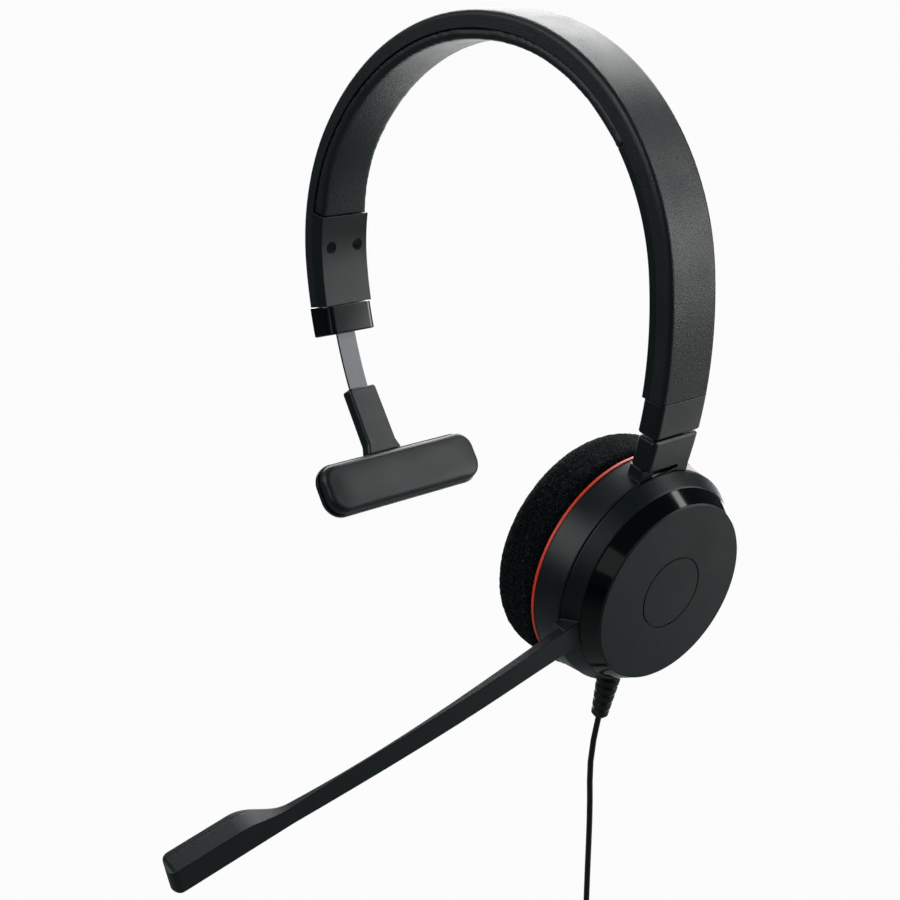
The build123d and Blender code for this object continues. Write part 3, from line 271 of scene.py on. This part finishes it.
def build_handling() -> bpy.types.NodeTree:
    """Faint handling marks: thin scuffs and specks that lift the roughness.

    Returns:
        The node group, with a Mask output.
    """
    tree, entry, leave, where = EffectGroup("handling_marks", {"Amount": 0.3}, ("Mask",)).start()
    scuffs_per_metre = (40.0, 400.0, 900.0)
    scuff_range = (0.58, 0.74)
    specks_per_metre = 1400.0
    speck_range = (0.70, 0.78)
    long = tree.add("Mapping", Vector=where, Scale=scuffs_per_metre)
    scuffs = tree.add("TexNoise", Vector=long.outputs["Vector"], Scale=1.0, Detail=4.0, Roughness=0.7)
    thin = tree.spread(scuffs.outputs["Fac"], scuff_range)
    specks = tree.add("TexNoise", Vector=where, Scale=specks_per_metre, Detail=1.0)
    dust = tree.spread(specks.outputs["Fac"], speck_range)
    either = tree.maths("MAXIMUM", thin, dust)
    tree.set(leave, "Mask", tree.maths("MULTIPLY", either, entry.outputs["Amount"]))
    return tree.tree


def build_pores() -> bpy.types.NodeTree:
    """Open foam cells: dark pores between lighter struts; the pores' darkness is painted shade.

    Returns:
        The node group, with Height and Pore outputs.
    """
    tree, entry, leave, where = EffectGroup(
        "foam_pores", {"Scale": 1500.0}, ("Height", "Pore")).start()
    strut_width = 0.28
    clumps_per_metre = 900.0
    cells = tree.add("TexVoronoi", {"feature": "DISTANCE_TO_EDGE"}, Vector=where,
                     Scale=entry.outputs["Scale"])
    noise = tree.add("TexNoise", Vector=where, Scale=clumps_per_metre, Detail=4.0, Roughness=0.7)
    struts = tree.spread(cells.outputs["Distance"], (0.0, strut_width), (1.0, 0.0))
    lit = tree.maths("MULTIPLY", struts, noise.outputs["Fac"])
    tree.set(leave, "Height", lit)
    tree.set(leave, "Pore", lit)
    return tree.tree


@dataclass
class Effects:
    """The shared effect groups, each built once."""

    grain: bpy.types.NodeTree = field(default_factory=build_grain)
    handling: bpy.types.NodeTree = field(default_factory=build_handling)
    pores: bpy.types.NodeTree = field(default_factory=build_pores)


# ------------------------------------------------------------------ finishes
@dataclass(frozen=True)
class Plastic:
    """A moulded plastic, from soft-touch to polished.

    Attributes:
        name: The material's name.
        dark: Colour in the grain's hollows.
        light: Colour on its tops.
        roughness: Roughness of the clean surface.
        rise: How much handling marks and wide variation add to the roughness.
        grain: Grain cells per metre.
        depth: Grain height in metres.
        coat: Weight of a clear coat.
        edge: Radius of the moulded edges, in metres.
        softness: Share of soft noise in the grain.
        marks: Amount of handling marks.
        patches: Range of the wide variation that counts.
        swing: How much of the rise the wide variation takes, each way.
    """

    name: str
    dark: Colour
    light: Colour
    roughness: float
    rise: float = 0.12
    grain: float = 2500.0
    depth: float = 0.02 * MM
    coat: float = 0.0
    edge: float = 0.35 * MM
    softness: float = 0.5
    marks: float = 0.5
    patches: tuple[float, float] = (0.3, 0.7)
    swing: float = 0.3

    def build(self, effects: Effects) -> bpy.types.Material:
        """Makes the material.

        Args:
            effects: The shared effect groups.

        Returns:
            The material.
        """
        tree, shader, material = start_material(self.name)
        grain = tree.group(effects.grain, Scale=self.grain, Softness=self.softness)
        marks = tree.group(effects.handling, Amount=self.marks)
        tree.set(shader, "Base Color", tree.blend(grain.outputs["Mask"], self.dark, self.light))
        swing = self.swing * self.rise
        wide = tree.spread(grain.outputs["Mask"], self.patches,
                           (self.roughness - swing, self.roughness + swing))
        tree.set(shader, "Roughness", tree.maths("MULTIPLY_ADD", marks.outputs["Mask"], self.rise, wide))
        soft = tree.add("Bevel", {"samples": 6}, Radius=self.edge)
        tree.set(shader, "Normal", tree.relief(grain.outputs["Height"], self.depth,
                                               Normal=soft.outputs["Normal"]))
        shader.inputs["Coat Weight"].default_value = self.coat
        shader.inputs["Coat Roughness"].default_value = 0.04
        return material


@dataclass(frozen=True)
class BrushedMetal:
    """Metal with fine lines along one direction.

    Attributes:
        name: The material's name.
        dark: Colour between the lines.
        light: Colour on the lines.
        roughness: Mean roughness.
        stretch: Pattern scale along X, Y and Z.
        marks: Amount of handling marks.
        line_rise: How much the lines change the roughness.
        mark_rise: How much handling marks add to it.
        depth: Depth of the lines in metres.
    """

    name: str
    dark: Colour
    light: Colour
    roughness: float
    stretch: Point = (300.0, 6000.0, 300.0)
    marks: float = 0.5
    line_rise: float = 0.18
    mark_rise: float = 0.2
    depth: float = 0.008 * MM

    def build(self, effects: Effects) -> bpy.types.Material:
        """Makes the material.

        Args:
            effects: The shared effect groups.

        Returns:
            The material.
        """
        tree, shader, material = start_material(self.name)
        where = tree.add("TexCoord").outputs["Object"]
        along = tree.add("Mapping", Vector=where, Scale=self.stretch)
        lines = tree.add("TexNoise", Vector=along.outputs["Vector"], Scale=1.0, Detail=3.0, Roughness=0.6)
        tree.set(shader, "Base Color", tree.blend(lines.outputs["Fac"], self.dark, self.light))
        marks = tree.group(effects.handling, Amount=self.marks)
        low = self.roughness - self.line_rise / 2
        lined = tree.maths("MULTIPLY_ADD", lines.outputs["Fac"], self.line_rise, low)
        marked = tree.maths("MULTIPLY_ADD", marks.outputs["Mask"], self.mark_rise, lined)
        tree.set(shader, "Roughness", marked)
        tree.set(shader, "Normal", tree.relief(lines.outputs["Fac"], self.depth, strength=0.5))
        shader.inputs["Metallic"].default_value = 1.0
        return material


@dataclass(frozen=True)
class Foam:
    """Open-cell foam with dark pores, whose darkness is painted shade in the foam's hollows.

    Attributes:
        name: The material's name.
        pore_shade: Painted shade deep in a pore, a near-black colour.
        strut: Colour of the struts.
        cells: Cells per metre.
        contrast: Range of the pore mask that runs from the painted shade of a pore to the colour of a strut.
        roughness: Roughness in a pore and on a strut.
        depth: Depth of the pores in metres.
    """

    name: str
    pore_shade: Colour
    strut: Colour
    cells: float
    contrast: tuple[float, float] = (0.28, 0.66)
    roughness: tuple[float, float] = (1.0, 0.78)
    depth: float = 0.6 * MM

    def build(self, effects: Effects) -> bpy.types.Material:
        """Makes the material.

        Args:
            effects: The shared effect groups.

        Returns:
            The material.
        """
        tree, shader, material = start_material(self.name)
        pores = tree.group(effects.pores, Scale=self.cells)
        ramp = tree.spread(pores.outputs["Pore"], self.contrast)
        # The near-black in the pores is painted shade; the struts keep the foam's own colour.
        tree.set(shader, "Base Color", tree.blend(ramp, self.pore_shade, self.strut))
        tree.set(shader, "Roughness", tree.spread(pores.outputs["Pore"], (0.0, 1.0), self.roughness))
        tree.set(shader, "Normal", tree.relief(pores.outputs["Height"], self.depth))
        shader.inputs["Specular IOR Level"].default_value = 0.12
        return material


@dataclass(frozen=True)
class CapPaint:
    """The ear cup's cap: a matte face with a polished conical wall.

    Attributes:
        name: The material's name.
        centre: Middle of the cap's face.
        axis: Outward direction of the cap.
        face: Colour of the matte face.
        wall: Colour of the polished wall.
        border: Heights along the axis between which the wall turns into the face.
        grain: Grain cells per metre.
        softness: Share of soft noise in the grain.
        marks: Amount of handling marks.
        patches: Range of the grain's wide variation that counts.
        matte: Roughness of the face, from one patch to the next.
        gloss: Roughness of the wall.
        rise: How much handling marks add to the roughness.
        flat: How much of the grain the wall loses.
        depth: Grain height in metres.
    """

    name: str
    centre: Vector
    axis: Vector
    face: Colour
    wall: Colour
    border: tuple[float, float] = (-0.45 * MM, -0.37 * MM)
    grain: float = 5200.0
    softness: float = 0.6
    marks: float = 0.4
    patches: tuple[float, float] = (0.3, 0.7)
    matte: tuple[float, float] = (0.44, 0.52)
    gloss: float = 0.10
    rise: float = 0.08
    flat: float = 0.97
    depth: float = 0.012 * MM

    def build(self, effects: Effects) -> bpy.types.Material:
        """Makes the material.

        Args:
            effects: The shared effect groups.

        Returns:
            The material.
        """
        tree, shader, material = start_material(self.name)
        where = tree.add("TexCoord").outputs["Object"]
        offset = tree.add("VectorMath", {"operation": "SUBTRACT"})
        tree.set(offset, 0, where)
        tree.set(offset, 1, self.centre)
        height = tree.add("VectorMath", {"operation": "DOT_PRODUCT"})
        tree.set(height, 0, offset.outputs["Vector"])
        tree.set(height, 1, self.axis)
        polished = tree.spread(height.outputs["Value"], self.border, (1.0, 0.0))
        grain = tree.group(effects.grain, Scale=self.grain, Softness=self.softness)
        marks = tree.group(effects.handling, Amount=self.marks)
        tree.set(shader, "Base Color", tree.blend(polished, self.face, self.wall))
        matte = tree.spread(grain.outputs["Mask"], self.patches, self.matte)
        rough = tree.add("Mix", {"data_type": "FLOAT"}, Factor=polished, A=matte, B=self.gloss)
        tree.set(shader, "Roughness", tree.maths("MULTIPLY_ADD", marks.outputs["Mask"], self.rise,
                                                 rough.outputs["Result"]))
        grained = tree.maths("MULTIPLY_ADD", polished, -self.flat, 1.0)
        faded = tree.maths("MULTIPLY", grain.outputs["Height"], grained)
        tree.set(shader, "Normal", tree.relief(faded, self.depth))
        return material


def start_material(name: str) -> tuple[NodeTree, bpy.types.Node, bpy.types.Material]:
    """Makes a material with one Principled BSDF.

    Args:
        name: The material's name.

    Returns:
        Its tree, its shader node and the material.
    """
    material = bpy.data.materials.new(name)
    material.use_nodes = True
    tree = NodeTree(material.node_tree)
    return tree, material.node_tree.nodes["Principled BSDF"], material


# ------------------------------------------------------------------ pieces
def deselect() -> None:
    """Deselects every object."""
    for piece in bpy.context.selected_objects:
        piece.select_set(False)


def dress(piece: bpy.types.Object, material: bpy.types.Material) -> None:
    """Gives a piece one material.

    Args:
        piece: The piece.
        material: Its material.
    """
    piece.data.materials.clear()
    piece.data.materials.append(material)


def apply_modifiers(piece: bpy.types.Object) -> None:
    """Applies every modifier of a piece, in order.

    Args:
        piece: The piece.
    """
    deselect()
    bpy.context.view_layer.objects.active = piece
    piece.select_set(True)
    for modifier in list(piece.modifiers):
        bpy.ops.object.modifier_apply(modifier=modifier.name)


@dataclass
class PaddedPiece:
    """A foam or padded piece, inflated from its CAD solid by a short cloth simulation.

    Attributes:
        name: The new piece's name.
        node: The CAD node it stands for.
        body: The body it rides on.
        slot: The record's material slot.
        seats: CAD nodes it is bonded to, where it stays put.
        voxel: Size of the remesh, in metres.
        pressure: Pressure of the simulation.
        cap: Furthest that a point may move, in metres.
        smooth: Passes of edge rounding.
        fill: How full it is, from 0 to 1; not used.
        pin_reach: Points this close to a seat stay put.
        skin: Height of the surface's unevenness, in metres.
        ironing: Passes that even out the swelling.
        merge: Distance under which the solid's corners are one point.
        grow: How many times its size the piece has in the simulation.
        steps: Frames of the simulation.
        stiffness: Stiffness against stretch and squeeze.
        bending: Stiffness against bending.
        quality: Steps within a frame.
        skin_grain: Size of the surface's unevenness along it.
    """

    name: str
    node: str
    body: Body
    slot: str
    seats: tuple[str, ...]
    voxel: float
    pressure: float
    cap: float
    smooth: int
    fill: float
    pin_reach: float = 0.5 * MM
    skin: float = 0.0
    ironing: int = 40
    merge: float = 0.01 * MM
    grow: float = 10.0
    steps: int = 20
    stiffness: float = 30.0
    bending: float = 2.0
    quality: int = 6
    skin_grain: float = 1.1 * MM

    def make(self, material: bpy.types.Material) -> bpy.types.Object:
        """Builds the piece.

        Args:
            material: Its material.

        Returns:
            The piece.
        """
        piece = self.copy_of_solid()
        self.remesh(piece)
        pins = self.pin(piece)
        self.round_edges(piece, pins)
        self.inflate(piece, pins)
        self.finish_surface(piece)
        dress(piece, material)
        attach(piece, self.body.value)
        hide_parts(self.node)
        LOG.info("%s: %d faces", self.name, len(piece.data.polygons))
        return piece

    def copy_of_solid(self) -> bpy.types.Object:
        """Copies the CAD solid's mesh and merges its loose triangles.

        Returns:
            The copy, as a new object.
        """
        mesh = frame["nodes"][self.node].data.copy()
        mesh.name = self.name
        piece = bpy.data.objects.new(self.name, mesh)
        bpy.context.scene.collection.objects.link(piece)
        deselect()
        bpy.context.view_layer.objects.active = piece
        piece.select_set(True)
        bpy.ops.mesh.customdata_custom_splitnormals_clear()
        bpy.ops.object.mode_set(mode="EDIT")
        bpy.ops.mesh.select_all(action="SELECT")
        bpy.ops.mesh.remove_doubles(threshold=self.merge)
        bpy.ops.object.mode_set(mode="OBJECT")
        return piece

    def remesh(self, piece: bpy.types.Object) -> None:
        """Gives the piece an even mesh.

        Args:
            piece: The piece.
        """
        modifier = piece.modifiers.new("even", "REMESH")
        modifier.mode = "VOXEL"
        modifier.voxel_size = self.voxel
        modifier.use_smooth_shade = True
        apply_modifiers(piece)

    def pin(self, piece: bpy.types.Object) -> set[int]:
        """Finds the points bonded to a seat and puts them in the pinned group.

        Args:
            piece: The piece.

        Returns:
            The pinned points' numbers.
        """
        depsgraph = bpy.context.evaluated_depsgraph_get()
        trees = [BVHTree.FromObject(frame["nodes"][n], depsgraph) for n in self.seats]
        pins = {
            v.index for v in piece.data.vertices
            if any(tree.find_nearest(v.co, self.pin_reach)[0] is not None for tree in trees)
        }
        group = piece.vertex_groups.new(name="pinned")
        group.add(sorted(pins), 1.0, "REPLACE")
        return pins

    def round_edges(self, piece: bpy.types.Object, pins: set[int]) -> None:
        """Rounds the free edges by smoothing, with the bonded points held.

        Args:
            piece: The piece.
            pins: The bonded points.
        """
        free = piece.vertex_groups.new(name="free")
        free.add([v.index for v in piece.data.vertices if v.index not in pins], 1.0, "REPLACE")
        modifier = piece.modifiers.new("round", "SMOOTH")
        modifier.factor = 0.5
        modifier.iterations = self.smooth
        modifier.vertex_group = "free"
        apply_modifiers(piece)

    def inflate(self, piece: bpy.types.Object, pins: set[int]) -> None:
        """Swells the piece by a cloth simulation, worked at several times its size.

        Args:
            piece: The piece.
            pins: The bonded points.
        """
        rest = [v.co.copy() for v in piece.data.vertices]
        piece.data.transform(Matrix.Scale(self.grow, 4))
        cloth = piece.modifiers.new("cloth", "CLOTH")
        settings = cloth.settings
        settings.use_pressure = True
        settings.uniform_pressure_force = self.pressure
        settings.effector_weights.gravity = 0.0
        settings.vertex_group_mass = "pinned"
        settings.quality = self.quality
        settings.tension_stiffness = self.stiffness
        settings.compression_stiffness = self.stiffness
        settings.bending_stiffness = self.bending
        cloth.collision_settings.use_collision = False
        scene = bpy.context.scene
        for step in range(1, self.steps + 1):
            scene.frame_set(step)
        evaluated = piece.evaluated_get(bpy.context.evaluated_depsgraph_get())
        moved = [v.co / self.grow for v in evaluated.data.vertices]
        piece.modifiers.clear()
        piece.data.transform(Matrix.Scale(1 / self.grow, 4))
        shifts = np.array([after - before for before, after in zip(rest, moved)])
        tiny = 1e-9
        length = np.maximum(np.linalg.norm(shifts, axis=1, keepdims=True), tiny)
        shifts = self.ironed(piece, shifts * np.minimum(1.0, self.cap / length), pins)
        for vertex, before, shift in zip(piece.data.vertices, rest, shifts):
            vertex.co = before + Vector(shift)
        piece.data.update()
        scene.frame_set(1)

    def ironed(self, piece: bpy.types.Object, shifts: np.ndarray, pins: set[int]) -> np.ndarray:
        """Evens out how far neighbouring points move, so that the swelling has no creases.

        Args:
            piece: The piece.
            shifts: How far each point moves.
            pins: The bonded points, which stay put.

        Returns:
            The even movement of each point.
        """
        ends = np.array([edge.vertices[:] for edge in piece.data.edges])
        count = np.bincount(ends.ravel(), minlength=len(shifts)).reshape(-1, 1)
        bonded = sorted(pins)
        for _ in range(self.ironing):
            total = np.zeros_like(shifts)
            np.add.at(total, ends[:, 0], shifts[ends[:, 1]])
            np.add.at(total, ends[:, 1], shifts[ends[:, 0]])
            shifts = total / np.maximum(count, 1)
            shifts[bonded] = 0.0
        return shifts

    def finish_surface(self, piece: bpy.types.Object) -> None:
        """Subdivides once and adds the skin's fine unevenness.

        Args:
            piece: The piece.
        """
        modifier = piece.modifiers.new("finer", "SUBSURF")
        modifier.levels = modifier.render_levels = 1
        if self.skin:
            texture = bpy.data.textures.new(self.name + "_skin", "CLOUDS")
            texture.noise_scale = self.skin_grain
            texture.noise_depth = 2
            rough = piece.modifiers.new("skin", "DISPLACE")
            rough.texture = texture
            rough.texture_coords = "LOCAL"
            rough.strength = self.skin
            rough.mid_level = 0.5
        apply_modifiers(piece)
        piece.vertex_groups.clear()
        piece.data.shade_smooth()


@dataclass
class Cord:
    """The thin lead from the cup's strain relief, wound into a tied coil, to its plug.

    Attributes:
        diameter: Jacket diameter.
        route: Corners from the strain relief to the coil, given one by one.
        tail: Corners from the coil to the plug.
        turns_per_column: Turn radii of one column of the coil, outermost first.
        columns: Number of columns, side by side along Y.
        points_per_turn: Control points of one turn.
        points_to_shift: Last points of a turn, over which the cord moves to the next one.
        length: Length of the cord; not used.
    """

    diameter: float = 1.6 * MM
    route: tuple[Point, ...] = (
        (45.629 * MM, -3.695 * MM, -170.965 * MM),
        (43.678 * MM, -4.770 * MM, -182.757 * MM),
        (43.55 * MM, -3.55 * MM, -200.0 * MM),
        (43.3 * MM, -3.6 * MM, -222.0 * MM),
    )
    tail: tuple[Point, ...] = (
        (43.3 * MM, -11.8 * MM, -265.8 * MM),
        (43.1 * MM, -11.9 * MM, -280.77 * MM),
    )
    turns_per_column: tuple[float, ...] = (12.0 * MM, 10.4 * MM, 8.8 * MM, 7.2 * MM)
    columns: int = 6
    points_per_turn: int = 16
    points_to_shift: int = 5
    length: float = 1.55

    def turns(self) -> list[tuple[float, float]]:
        """The coil's turns in winding order.

        Returns:
            Each turn's radius and its offset along Y from the coil's middle.
        """
        found = []
        for column in range(self.columns):
            offset = (0.5 * (self.columns - 1) - column) * self.diameter
            radii = self.turns_per_column if column % 2 == 0 else self.turns_per_column[::-1]
            found += [(radius, offset) for radius in radii]
        return found

    def coil_points(self) -> list[Vector]:
        """Control points of the coil, each on the tangent polygon of its turn.

        Returns:
            The points, from the top of the first turn to the top of the last.
        """
        low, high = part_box("cord_coil")
        centre = (low + high) / 2
        turns = self.turns()
        step = math.tau / self.points_per_turn
        straight = self.points_per_turn - self.points_to_shift
        points = []
        for number, (radius, offset) in enumerate(turns):
            next_radius, next_offset = turns[min(number + 1, len(turns) - 1)]
            for k in range(self.points_per_turn):
                angle = (k + 0.5) * step
                share = max(0.0, (k + 1 - straight) / (self.points_to_shift + 1))
                share = share * share * (3 - 2 * share)
                reach = (radius + share * (next_radius - radius)) / math.cos(step / 2)
                side = offset + share * (next_offset - offset)
                spoke = Vector((reach * math.cos(angle), side, -reach * math.sin(angle)))
                points.append(centre + spoke)
        return points

    def make(self, material: bpy.types.Material, plug: list[bpy.types.Object]) -> bpy.types.Object:
        """Builds the cord as one smooth curve.

        Args:
            material: The jacket's material.
            plug: The pieces that hang on the cord; not used.

        Returns:
            The cord.
        """
        points = [Vector(p) for p in self.route] + self.coil_points() + [Vector(p) for p in self.tail]
        curve = bpy.data.curves.new("usb_cord", "CURVE")
        curve.dimensions = "3D"
        curve.bevel_depth = self.diameter / 2
        curve.bevel_resolution = 3
        curve.resolution_u = 3
        curve.use_fill_caps = True
        spline = curve.splines.new("NURBS")
        spline.points.add(len(points) - 1)
        for target, point in zip(spline.points, points):
            target.co = (*point, 1.0)
        spline.order_u = 3
        spline.use_endpoint_u = True
        piece = bpy.data.objects.new("usb_cord", curve)
        bpy.context.scene.collection.objects.link(piece)
        dress(piece, material)
        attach(piece, Body.CUP.value)
        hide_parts("cord", "cord_coil", "plug_lead")
        LOG.info("usb_cord: %d control points", len(points))
        return piece


# ------------------------------------------------------------------ studio
@dataclass(frozen=True)
class Lamp:
    """A soft rectangular lamp that points at the headset.

    Attributes:
        name: Its name.
        place: Where it stands.
        size: Its width and height.
        glow: Its brightness, where 1 is a white surface.
        target: Where it points.
    """

    name: str
    place: Point
    size: tuple[float, float]
    glow: float
    target: Point = (0.0, 0.0, -0.08)

    def make(self) -> None:
        """Makes the lamp."""
        data = bpy.data.lights.new(self.name, "AREA")
        data.shape = "RECTANGLE"
        data.size, data.size_y = self.size
        data.energy = self.glow * math.pi * self.size[0] * self.size[1]
        lamp = bpy.data.objects.new(self.name, data)
        lamp.location = self.place
        aim = Vector(self.target) - Vector(self.place)
        lamp.rotation_euler = aim.to_track_quat("-Z", "Y").to_euler()
        lamp.visible_camera = False
        bpy.context.scene.collection.objects.link(lamp)


@dataclass
class Studio:
    """Camera, pale floor, backdrop and soft lamps.

    The floor and the backdrop show white to the camera and light the headset as a dim grey.

    Attributes:
        eye: The camera's place.
        target: Where it looks.
        lens: Focal length in millimetres.
        shift: Horizontal and vertical shift.
        nearest: How close the camera still sees.
        backdrop: Colour of the backdrop and the floor as the camera sees them.
        ambient: Colour of the room as a light.
        floor_tint: Colour of the floor as a light.
        floor_gap: Floor below the plug.
        floor_size: Side of the floor.
        lamps: The soft lamps.
    """

    eye: Point = (0.27074, -0.24862, 0.01038)
    target: Point = (-0.0173, 0.0, -0.1115)
    lens: float = 55.98
    shift: tuple[float, float] = (-0.0043, -0.0072)
    nearest: float = 0.01
    backdrop: Colour = (0.97, 0.97, 0.97)
    ambient: Colour = (0.03, 0.045, 0.05)
    floor_tint: Colour = (0.18, 0.20, 0.20)
    floor_gap: float = 0.30
    floor_size: float = 14.0
    lamps: tuple[Lamp, ...] = (
        Lamp("back_panel", (-0.92, 0.80, 0.05), (1.5, 0.75), 3.1),
        Lamp("back_low", (-0.52, 0.62, -0.46), (0.70, 0.40), 2.2),
        Lamp("back_top", (-0.60, 0.75, 0.62), (1.1, 0.35), 8.5),
        Lamp("top_soft", (-0.50, 0.22, 0.80), (0.60, 0.40), 1.2),
        Lamp("overhead", (0.40, 0.60, 0.54), (0.18, 0.11), 4.2),
        Lamp("rear_side", (0.72, 0.89, 0.05), (0.46, 0.60), 4.8),
        Lamp("rear_high", (0.70, 0.78, 0.60), (0.50, 0.30), 3.4),
        Lamp("rear_low", (0.38, 0.75, -0.48), (0.34, 0.30), 1.35),
        Lamp("front_fill", (-0.55, -0.95, 0.45), (1.0, 0.7), 1.5),
        Lamp("front_high", (0.20, -0.75, 0.60), (0.40, 0.30), 6.0),
        Lamp("front_right", (0.60, -0.85, 0.22), (0.50, 0.40), 0.35),
    )

    def make(self) -> None:
        """Builds the camera, the floor, the world and the lamps."""
        self.camera()
        self.floor()
        self.world()
        for lamp in self.lamps:
            lamp.make()

    def camera(self) -> None:
        """Makes the camera."""
        data = bpy.data.cameras.new("camera")
        data.lens = self.lens
        data.shift_x, data.shift_y = self.shift
        data.clip_start = self.nearest
        camera = bpy.data.objects.new("camera", data)
        eye, target = Vector(self.eye), Vector(self.target)
        camera.location = eye
        camera.rotation_euler = (target - eye).to_track_quat("-Z", "Y").to_euler()
        bpy.context.scene.collection.objects.link(camera)
        bpy.context.scene.camera = camera

    def floor(self) -> None:
        """Makes the floor under the hanging plug."""
        deselect()
        height = CAD_BOX[0].z - self.floor_gap
        bpy.ops.mesh.primitive_plane_add(size=self.floor_size, location=(0.0, 0.0, height))
        floor = bpy.context.active_object
        floor.name = "floor"
        tree, shader, material = start_material("pale_floor")
        shader.inputs["Base Color"].default_value = (*self.floor_tint, 1.0)
        shader.inputs["Roughness"].default_value = 0.9
        shader.inputs["Specular IOR Level"].default_value = 0.1
        glow = tree.add("Emission", Color=(*self.backdrop, 1.0), Strength=1.0)
        seen = tree.add("MixShader")
        tree.set(seen, 0, tree.add("LightPath").outputs["Is Camera Ray"])
        tree.set(seen, 1, shader.outputs["BSDF"])
        tree.set(seen, 2, glow.outputs["Emission"])
        tree.set(tree.tree.nodes["Material Output"], "Surface", seen.outputs["Shader"])
        dress(floor, material)

    def world(self) -> None:
        """Makes the backdrop: white to look at, dim as a light."""
        world = bpy.data.worlds.new("studio")
        world.use_nodes = True
        bpy.context.scene.world = world
        tree = NodeTree(world.node_tree)
        ray = tree.add("LightPath")
        colour = tree.blend(ray.outputs["Is Camera Ray"], self.ambient, self.backdrop)
        background = world.node_tree.nodes["Background"]
        tree.set(background, "Color", colour)
        background.inputs["Strength"].default_value = 1.0


# ------------------------------------------------------------------ the headset
@dataclass
class Headset:
    """The whole headset: its finishes and its pieces."""

    effects: Effects = field(default_factory=Effects)

    def finishes(self) -> dict[str, bpy.types.Material]:
        """Builds a material for each slot of the record.

        Returns:
            The materials by slot.
        """
        made = {
            "soft_black": Plastic("soft_touch_black", SOFT_DARK, SOFT_LIGHT, 0.42, grain=2600.0,
                                  depth=0.08 * MM),
            "lining_black": Plastic("lining_black", SOFT_DARK, SOFT_LIGHT, 0.44, grain=2300.0,
                                    depth=0.09 * MM),
            "matte_black": Plastic("matte_black", (0.0045, 0.0082, 0.0100), (0.0080, 0.0125, 0.0145), 0.34,
                                   grain=4200.0, depth=0.03 * MM),
            "gloss_black": Plastic("gloss_black", (0.0015, 0.0022, 0.0026), (0.0025, 0.0032, 0.0036), 0.14,
                                   rise=0.05, grain=900.0, depth=0.001 * MM, coat=0.6),
            "screw_black": BrushedMetal("black_screws", (0.03, 0.03, 0.03), (0.10, 0.10, 0.10), 0.35),
            "spring_steel": BrushedMetal("spring_steel", (0.10, 0.105, 0.11), (0.18, 0.185, 0.19), 0.36),
            "plug_steel": BrushedMetal("plug_steel", (0.50, 0.50, 0.51), (0.66, 0.66, 0.67), 0.22),
            "cap_grey": CapPaint("cap_paint", CUP_CENTRE, CUP_AXIS, face=(0.0075, 0.0120, 0.0135),
                                 wall=(0.0015, 0.0020, 0.0024)),
            "accent_red": Plastic("accent_red", (0.90, 0.060, 0.022), (1.0, 0.085, 0.035), 0.38,
                                  grain=3000.0, depth=0.006 * MM),
            # The foam's near-black pore colour is painted shade.
            "foam_black": Foam("black_foam", pore_shade=(0.0003, 0.0006, 0.0008), strut=(0.034, 0.050, 0.058),
                               cells=1500.0),
            "rubber_black": Plastic("rubber_black", (0.0060, 0.0100, 0.0115), (0.0110, 0.0160, 0.0180), 0.40,
                                    grain=1800.0, depth=0.01 * MM),
            "cord_black": Plastic("cord_jacket", (0.0055, 0.0070, 0.0075), (0.0100, 0.0120, 0.0125), 0.36,
                                  grain=2400.0, depth=0.01 * MM),
            "board_green": Plastic("board_green", (0.015, 0.10, 0.04), (0.03, 0.17, 0.07), 0.35),
            "mesh_black": Plastic("woven_black", (0.008, 0.008, 0.008), (0.03, 0.03, 0.03), 0.85,
                                  grain=4000.0, depth=0.1 * MM),
            "film_amber": Plastic("film_amber", (0.45, 0.24, 0.07), (0.58, 0.34, 0.12), 0.18, coat=0.3),
            "contact_white": Plastic("contact_white", (0.68, 0.68, 0.66), (0.78, 0.78, 0.76), 0.40),
        }
        return {slot: finish.build(self.effects) for slot, finish in made.items()}

    def padded(self) -> list[PaddedPiece]:
        """The soft pieces.

        Returns:
            Their settings.
        """
        return [
            PaddedPiece("foam_cushion", "ear_cushion", Body.CUP, "foam_black",
                        ("accent_ring", "cushion_ring"), voxel=0.8 * MM, pressure=3.0, cap=0.7 * MM,
                        smooth=8, fill=0.8, skin=0.35 * MM),
            PaddedPiece("crown_lining", "crown_pad", Body.BAND, "lining_black",
                        ("band_cover", "pad_carrier", "bar_block", "cup_trim"), voxel=0.7 * MM,
                        pressure=3.0, cap=0.35 * MM, smooth=10, fill=0.5, pin_reach=0.25 * MM),
            PaddedPiece("t_bar_pad", "bar_pad", Body.T_BAR, "rubber_black", ("bar_plate",),
                        voxel=0.55 * MM, pressure=4.0, cap=0.5 * MM, smooth=4, fill=0.6,
                        pin_reach=0.3 * MM),
        ]

    def make(self) -> None:
        """Builds every piece and dresses every node."""
        materials = self.finishes()
        slots = {row["node"]: row["material_slot"] for row in frame["record"]["subparts"]}
        for name, node in frame["nodes"].items():
            dress(node, materials[slots[name]])
            LOG.info("%s wears %s", name, materials[slots[name]].name)
        on_cord = ("plug_relief", "plug_body", "plug_shell", "plug_insert", "coil_tie")
        plug = [frame["nodes"][name] for name in on_cord]
        Cord().make(materials["cord_black"], plug)
        for piece in self.padded():
            piece.make(materials[piece.slot])


def main() -> None:
    """Builds the studio and the headset in order."""
    logging.basicConfig(level=logging.INFO, format="%(name)s: %(message)s")
    bpy.context.scene.view_settings.view_transform = "Standard"
    Studio().make()
    Headset().make()


if __name__ == "__main__":
    main()
